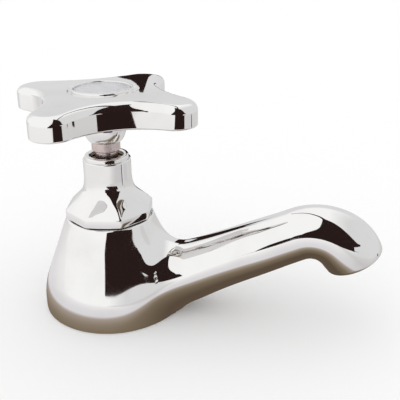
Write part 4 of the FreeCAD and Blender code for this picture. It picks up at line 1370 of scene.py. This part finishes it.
def dress_packed(finishes: Finishes) -> None:
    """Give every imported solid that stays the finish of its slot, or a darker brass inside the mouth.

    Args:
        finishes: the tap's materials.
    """
    slots = {part["node"]: part["material_slot"] for part in frame["record"]["subparts"]}
    for name, solid in frame["nodes"].items():
        if name in MODELLED_ANEW:
            continue
        material = finishes["darker_brass" if name in IN_THE_MOUTH else slots[name]]
        for holder in solid.material_slots:
            holder.material = material
        LOG.info("%-16s keeps its packed solid, in %s", name, material.name)


# ---------------------------------------------------------------- studio

@dataclass
class Camera:
    """The photograph's camera, placed by the outline of the tap."""

    place: tuple[float, float, float] = (0.0743, -0.2041, 0.1322)
    heading: float = math.radians(-11.228)
    dip: float = math.radians(23.151)
    roll: float = math.radians(-0.301)
    lens: float = 57.32
    sensor: float = 36.0
    nearest: float = 0.01

    def build(self) -> None:
        """Make the camera and look through it."""
        bpy.ops.object.camera_add()
        camera = bpy.context.object
        camera.name = "photo_camera"
        ahead = Vector((math.sin(self.heading) * math.cos(self.dip),
                        math.cos(self.heading) * math.cos(self.dip), -math.sin(self.dip)))
        level = Vector((math.cos(self.heading), -math.sin(self.heading), 0))
        above = level.cross(ahead)
        right = level * math.cos(self.roll) + above * math.sin(self.roll)
        top = above * math.cos(self.roll) - level * math.sin(self.roll)
        turned = Matrix((right, top, -ahead)).transposed().to_4x4()
        camera.matrix_world = Matrix.Translation(self.place) @ turned
        camera.data.lens = self.lens
        camera.data.sensor_width = self.sensor
        camera.data.clip_start = self.nearest
        bpy.context.scene.camera = camera


@dataclass
class Studio:
    """A plain white floor and soft light all round.

    The chrome sees more than the camera does: a painted shadow on the floor that darkens and browns towards
    the tap, a room painted dimmer past the spout and behind the tap, and a few dark sheets that paint dark
    reflections.
    """

    floor_size: float = 6.0
    # the floor stands a hair above the foot's lowest face, so that the foot shows from below
    floor_height: float = 0.03
    floor_colour: float = 0.9
    floor_roughness: float = 0.9
    # distance from the line under the spout, and the floor's colour there as the chrome sees it: a painted
    # shadow, dark brown near the tap and white far off
    painted_floor_shadow: tuple[tuple[float, Colour], ...] = (
        (12.0, (0.11, 0.08, 0.055)), (27.0, (0.22, 0.17, 0.115)), (40.0, (0.42, 0.36, 0.31)),
        (47.0, (0.76, 0.74, 0.77)), (150.0, (0.88, 0.87, 0.87)), (500.0, (0.98, 0.98, 0.98)))
    painted_shadow_reach: float = 600.0
    spout_foot: float = 72.0
    # from where to where the floor's painted reflection goes dimmer, past the spout's end and behind the
    # tap: painted shade
    dim_right: Point = (70.0, 140.0)
    dim_behind: Point = (20.0, 130.0)
    dimmed: float = 0.76
    # the room's own colour, and its grey: how far behind, how low and how far right a look has to go
    white: Colour = (1.0, 1.0, 1.0)
    grey: Colour = (0.75, 0.75, 0.76)
    grey_behind: Point = (0.35, 0.75)
    grey_low: Point = (0.45, 0.62)
    grey_right: Point = (0.15, 0.55)
    # colour of the dark sheets, which paint dark reflections in the chrome
    dark: Colour = (0.022, 0.012, 0.011)
    screen_distance: float = 178.0
    row_points: int = 13
    # height of the dark screen's rows, and the bearings between which each row runs
    screen_rows: tuple[tuple[float, float, float], ...] = (
        (39, 3, 53), (60, 3, 56), (66, 3, 69), (72, 5, 70), (78, 8, 66), (95, 9, 64), (112, 12, 63),
        (150, 18, 62), (200, 22, 62), (300, 25, 62), (450, 28, 60), (700, 32, 56), (1500, 37, 51))
    # distance and height of the dark ledge under the screen, and its bearings
    ledge_rows: tuple[tuple[float, float, float, float], ...] = ((178, 43, 24, 62), (105, 33, 8, 57))
    # middle of the dark arch over the tap and half its width, and the spot that it faces
    arch: tuple[tuple[float, float, float, float], ...] = (
        (131, -119, 298, 17), (105, -70, 325, 12), (70, 0, 310, 8), (25, 60, 250, 5), (-8, 90, 200, 3),
        (-12, 90, 150, 2.5))
    arch_faces: tuple[float, float, float] = (20, 0, 60)
    # height of the dark post behind the tap, and how far it reaches along the spout
    post_rows: tuple[tuple[float, float, float], ...] = (
        (5, 3, 7), (40, -6, 9), (60, -20, 11), (82, -36, 14), (84, -32, -6), (88, -26, -8), (93, -17, -8.5),
        (98, -14, -9), (108, -12, -10))
    post_distance: float = 90.0
    # height and reach across of a small dark block beyond the spout
    block_rows: tuple[tuple[float, float, float], ...] = ((2, 27, 45), (14, 27, 45), (20, 31, 41))
    block_distance: float = 250.0

    def painted_shadow_colour(self, tree: Tree, parts: Node) -> Socket:
        """Colour the floor's painted shadow, as the chrome sees it, by the distance from the line under the
        spout.

        Args:
            tree: the floor's nodes.
            parts: the node that gives a spot's X and Y.

        Returns:
            The socket of the colour.
        """
        tones = node(tree, "ShaderNodeValToRGB")
        stops = tones.color_ramp.elements
        while len(stops) < len(self.painted_floor_shadow):
            stops.new(1.0)
        for stop, (distance, colour) in zip(stops, self.painted_floor_shadow):
            stop.position = distance / self.painted_shadow_reach
            stop.color = (*colour, 1)
        along = node(tree, "ShaderNodeClamp", max=self.spout_foot * MM)
        tree.links.new(parts.outputs["X"], along.inputs["Value"])
        past = worked_out(tree, "SUBTRACT", parts.outputs["X"], along.outputs[0])
        away = flat_length(tree, past, parts.outputs["Y"])
        tree.links.new(spread(tree, away, 0.0, self.painted_shadow_reach * MM), tones.inputs["Fac"])
        return tones.outputs["Color"]

    def painted_shade_strength(self, tree: Tree, parts: Node) -> Socket:
        """Dim the floor's painted shadow and reflection past the spout's end and behind the tap: painted
        shade.

        Args:
            tree: the floor's nodes.
            parts: the node that gives a spot's X and Y.

        Returns:
            The socket of the strength.
        """
        edges = (("X", self.dim_right), ("Y", self.dim_behind))
        right, behind = (spread(tree, parts.outputs[axis], start * MM, end * MM, 1.0, self.dimmed)
                         for axis, (start, end) in edges)
        return worked_out(tree, "MINIMUM", right, behind)

    def floor(self) -> None:
        """Lay the floor: white to the camera, and to the chrome a painted shadow that darkens and browns
        towards the tap.
        """
        bpy.ops.mesh.primitive_plane_add(size=self.floor_size, location=(0, 0, self.floor_height * MM))
        plane = bpy.context.object
        plane.name = "studio_floor"
        material = bpy.data.materials.new("studio_floor")
        material.use_nodes = True
        tree = material.node_tree
        shader = tree.nodes["Principled BSDF"]
        shader.inputs["Roughness"].default_value = self.floor_roughness
        shader.inputs["Specular IOR Level"].default_value = 0.0
        path, parts = node(tree, "ShaderNodeLightPath"), split_place(tree, "Object")
        paint = spread(tree, path.outputs["Is Camera Ray"], 0.0, 1.0, self.floor_colour, 1.0)
        # painted shadow: an emission on the floor, dark brown near the tap, that only glossy rays see
        painted_floor_shadow, mix = node(tree, "ShaderNodeEmission"), node(tree, "ShaderNodeMixShader")
        join(tree, (paint, shader.inputs["Base Color"]),
             (self.painted_shadow_colour(tree, parts), painted_floor_shadow.inputs["Color"]),
             (self.painted_shade_strength(tree, parts), painted_floor_shadow.inputs["Strength"]),
             (path.outputs["Is Glossy Ray"], mix.inputs[0]),
             (shader.outputs[0], mix.inputs[1]), (painted_floor_shadow.outputs[0], mix.inputs[2]),
             (mix.outputs[0], tree.nodes["Material Output"].inputs["Surface"]))
        plane.data.materials.append(material)

    def sky(self) -> None:
        """Light the room evenly; the chrome sees it greyer low down behind the tap and past its spout."""
        world = bpy.data.worlds.new("studio")
        bpy.context.scene.world = world
        world.use_nodes = True
        tree = world.node_tree
        back = tree.nodes["Background"]
        back.inputs["Strength"].default_value = 1.0
        path, parts = node(tree, "ShaderNodeLightPath"), split_place(tree, "Generated")
        behind = worked_out(tree, "MULTIPLY", spread(tree, parts.outputs["Y"], *self.grey_behind),
                            spread(tree, parts.outputs["Z"], *self.grey_low, 1.0, 0.0))
        greyed = worked_out(tree, "MAXIMUM", behind, spread(tree, parts.outputs["X"], *self.grey_right))
        seen = worked_out(tree, "MULTIPLY", greyed, path.outputs["Is Glossy Ray"])
        share, blend = colour_mix(tree, self.white, self.grey)
        join(tree, (seen, share), (blend, back.inputs["Color"]))

    def dark_sheet(self, name: str, rows: Sequence[Sequence[Vector]]) -> None:
        """Hang a dark sheet that only reflections see.

        Args:
            name: name of the sheet.
            rows: its points row by row, in millimetres, each row with the same count.
        """
        width = len(rows[0])
        points = [tuple(spot * MM) for row in rows for spot in row]
        faces = [(r * width + c, r * width + c + 1, (r + 1) * width + c + 1, (r + 1) * width + c)
                 for r in range(len(rows) - 1) for c in range(width - 1)]
        mesh = bpy.data.meshes.new(name)
        mesh.from_pydata(points, [], faces)
        sheet = placed(name, mesh)
        material = bpy.data.materials.new(name)
        material.use_nodes = True
        tree = material.node_tree
        glow = node(tree, "ShaderNodeEmission")
        glow.inputs["Color"].default_value = (*self.dark, 1)
        join(tree, (glow.outputs[0], tree.nodes["Material Output"].inputs["Surface"]))
        mesh.materials.append(material)
        for kind in ("camera", "diffuse", "shadow", "transmission", "volume_scatter"):
            setattr(sheet, f"visible_{kind}", False)

    def swept_row(self, distance: float, height: float, left: float, right: float) -> list[Vector]:
        """Lay a row of spots round the tap.

        Args:
            distance: how far the spots are from the tap's axis.
            height: how high they are.
            left: bearing of the first, from the camera's side of the tap and turning towards the spout.
            right: bearing of the last.

        Returns:
            The spots, in millimetres.
        """
        turns = [math.radians(left + (right - left) * share) for share in np.linspace(0, 1, self.row_points)]
        return [Vector((math.sin(turn) * distance, -math.cos(turn) * distance, height)) for turn in turns]

    def arch_rows(self) -> list[list[Vector]]:
        """Widen the arch's middle line to a strip.

        Returns:
            The strip's two sides, pair by pair.
        """
        middles = [Vector(spot[:3]) for spot in self.arch]
        strip = []
        for index, (*_, half) in enumerate(self.arch):
            ahead = middles[min(index + 1, len(middles) - 1)] - middles[max(index - 1, 0)]
            aside = ahead.cross(Vector(self.arch_faces) - middles[index]).normalized() * half
            strip.append([middles[index] - aside, middles[index] + aside])
        return strip

    def dark_things(self) -> None:
        """Hang painted dark reflections that only the chrome sees: the screen and its ledge in front, the
        arch overhead, and the post and block beyond.
        """
        self.dark_sheet("dark_screen", [self.swept_row(self.screen_distance, *row)
                                        for row in self.screen_rows])
        self.dark_sheet("dark_ledge", [self.swept_row(*row) for row in self.ledge_rows])
        self.dark_sheet("dark_arch", self.arch_rows())
        self.dark_sheet("dark_post", [[Vector((left, self.post_distance, height)),
                                       Vector((right, self.post_distance, height))]
                                      for height, left, right in self.post_rows])
        self.dark_sheet("dark_block", [[Vector((self.block_distance, left, height)),
                                        Vector((self.block_distance, right, height))]
                                       for height, left, right in self.block_rows])

    def build(self) -> None:
        """Set the stage and the way that colours are shown."""
        self.floor()
        self.sky()
        self.dark_things()
        bpy.context.scene.view_settings.view_transform = "Standard"


# ---------------------------------------------------------------- the whole tap

def main() -> None:
    """Build the tap's pieces in order, then the studio and the camera."""
    finishes = Finishes(Effects())
    for piece in (CastBody(), Tail(), Bonnet(), CrossHandle(), Index()):
        piece.build(finishes)
    dress_packed(finishes)
    Studio().build()
    Camera().build()


if __name__ == "__main__":
    main()
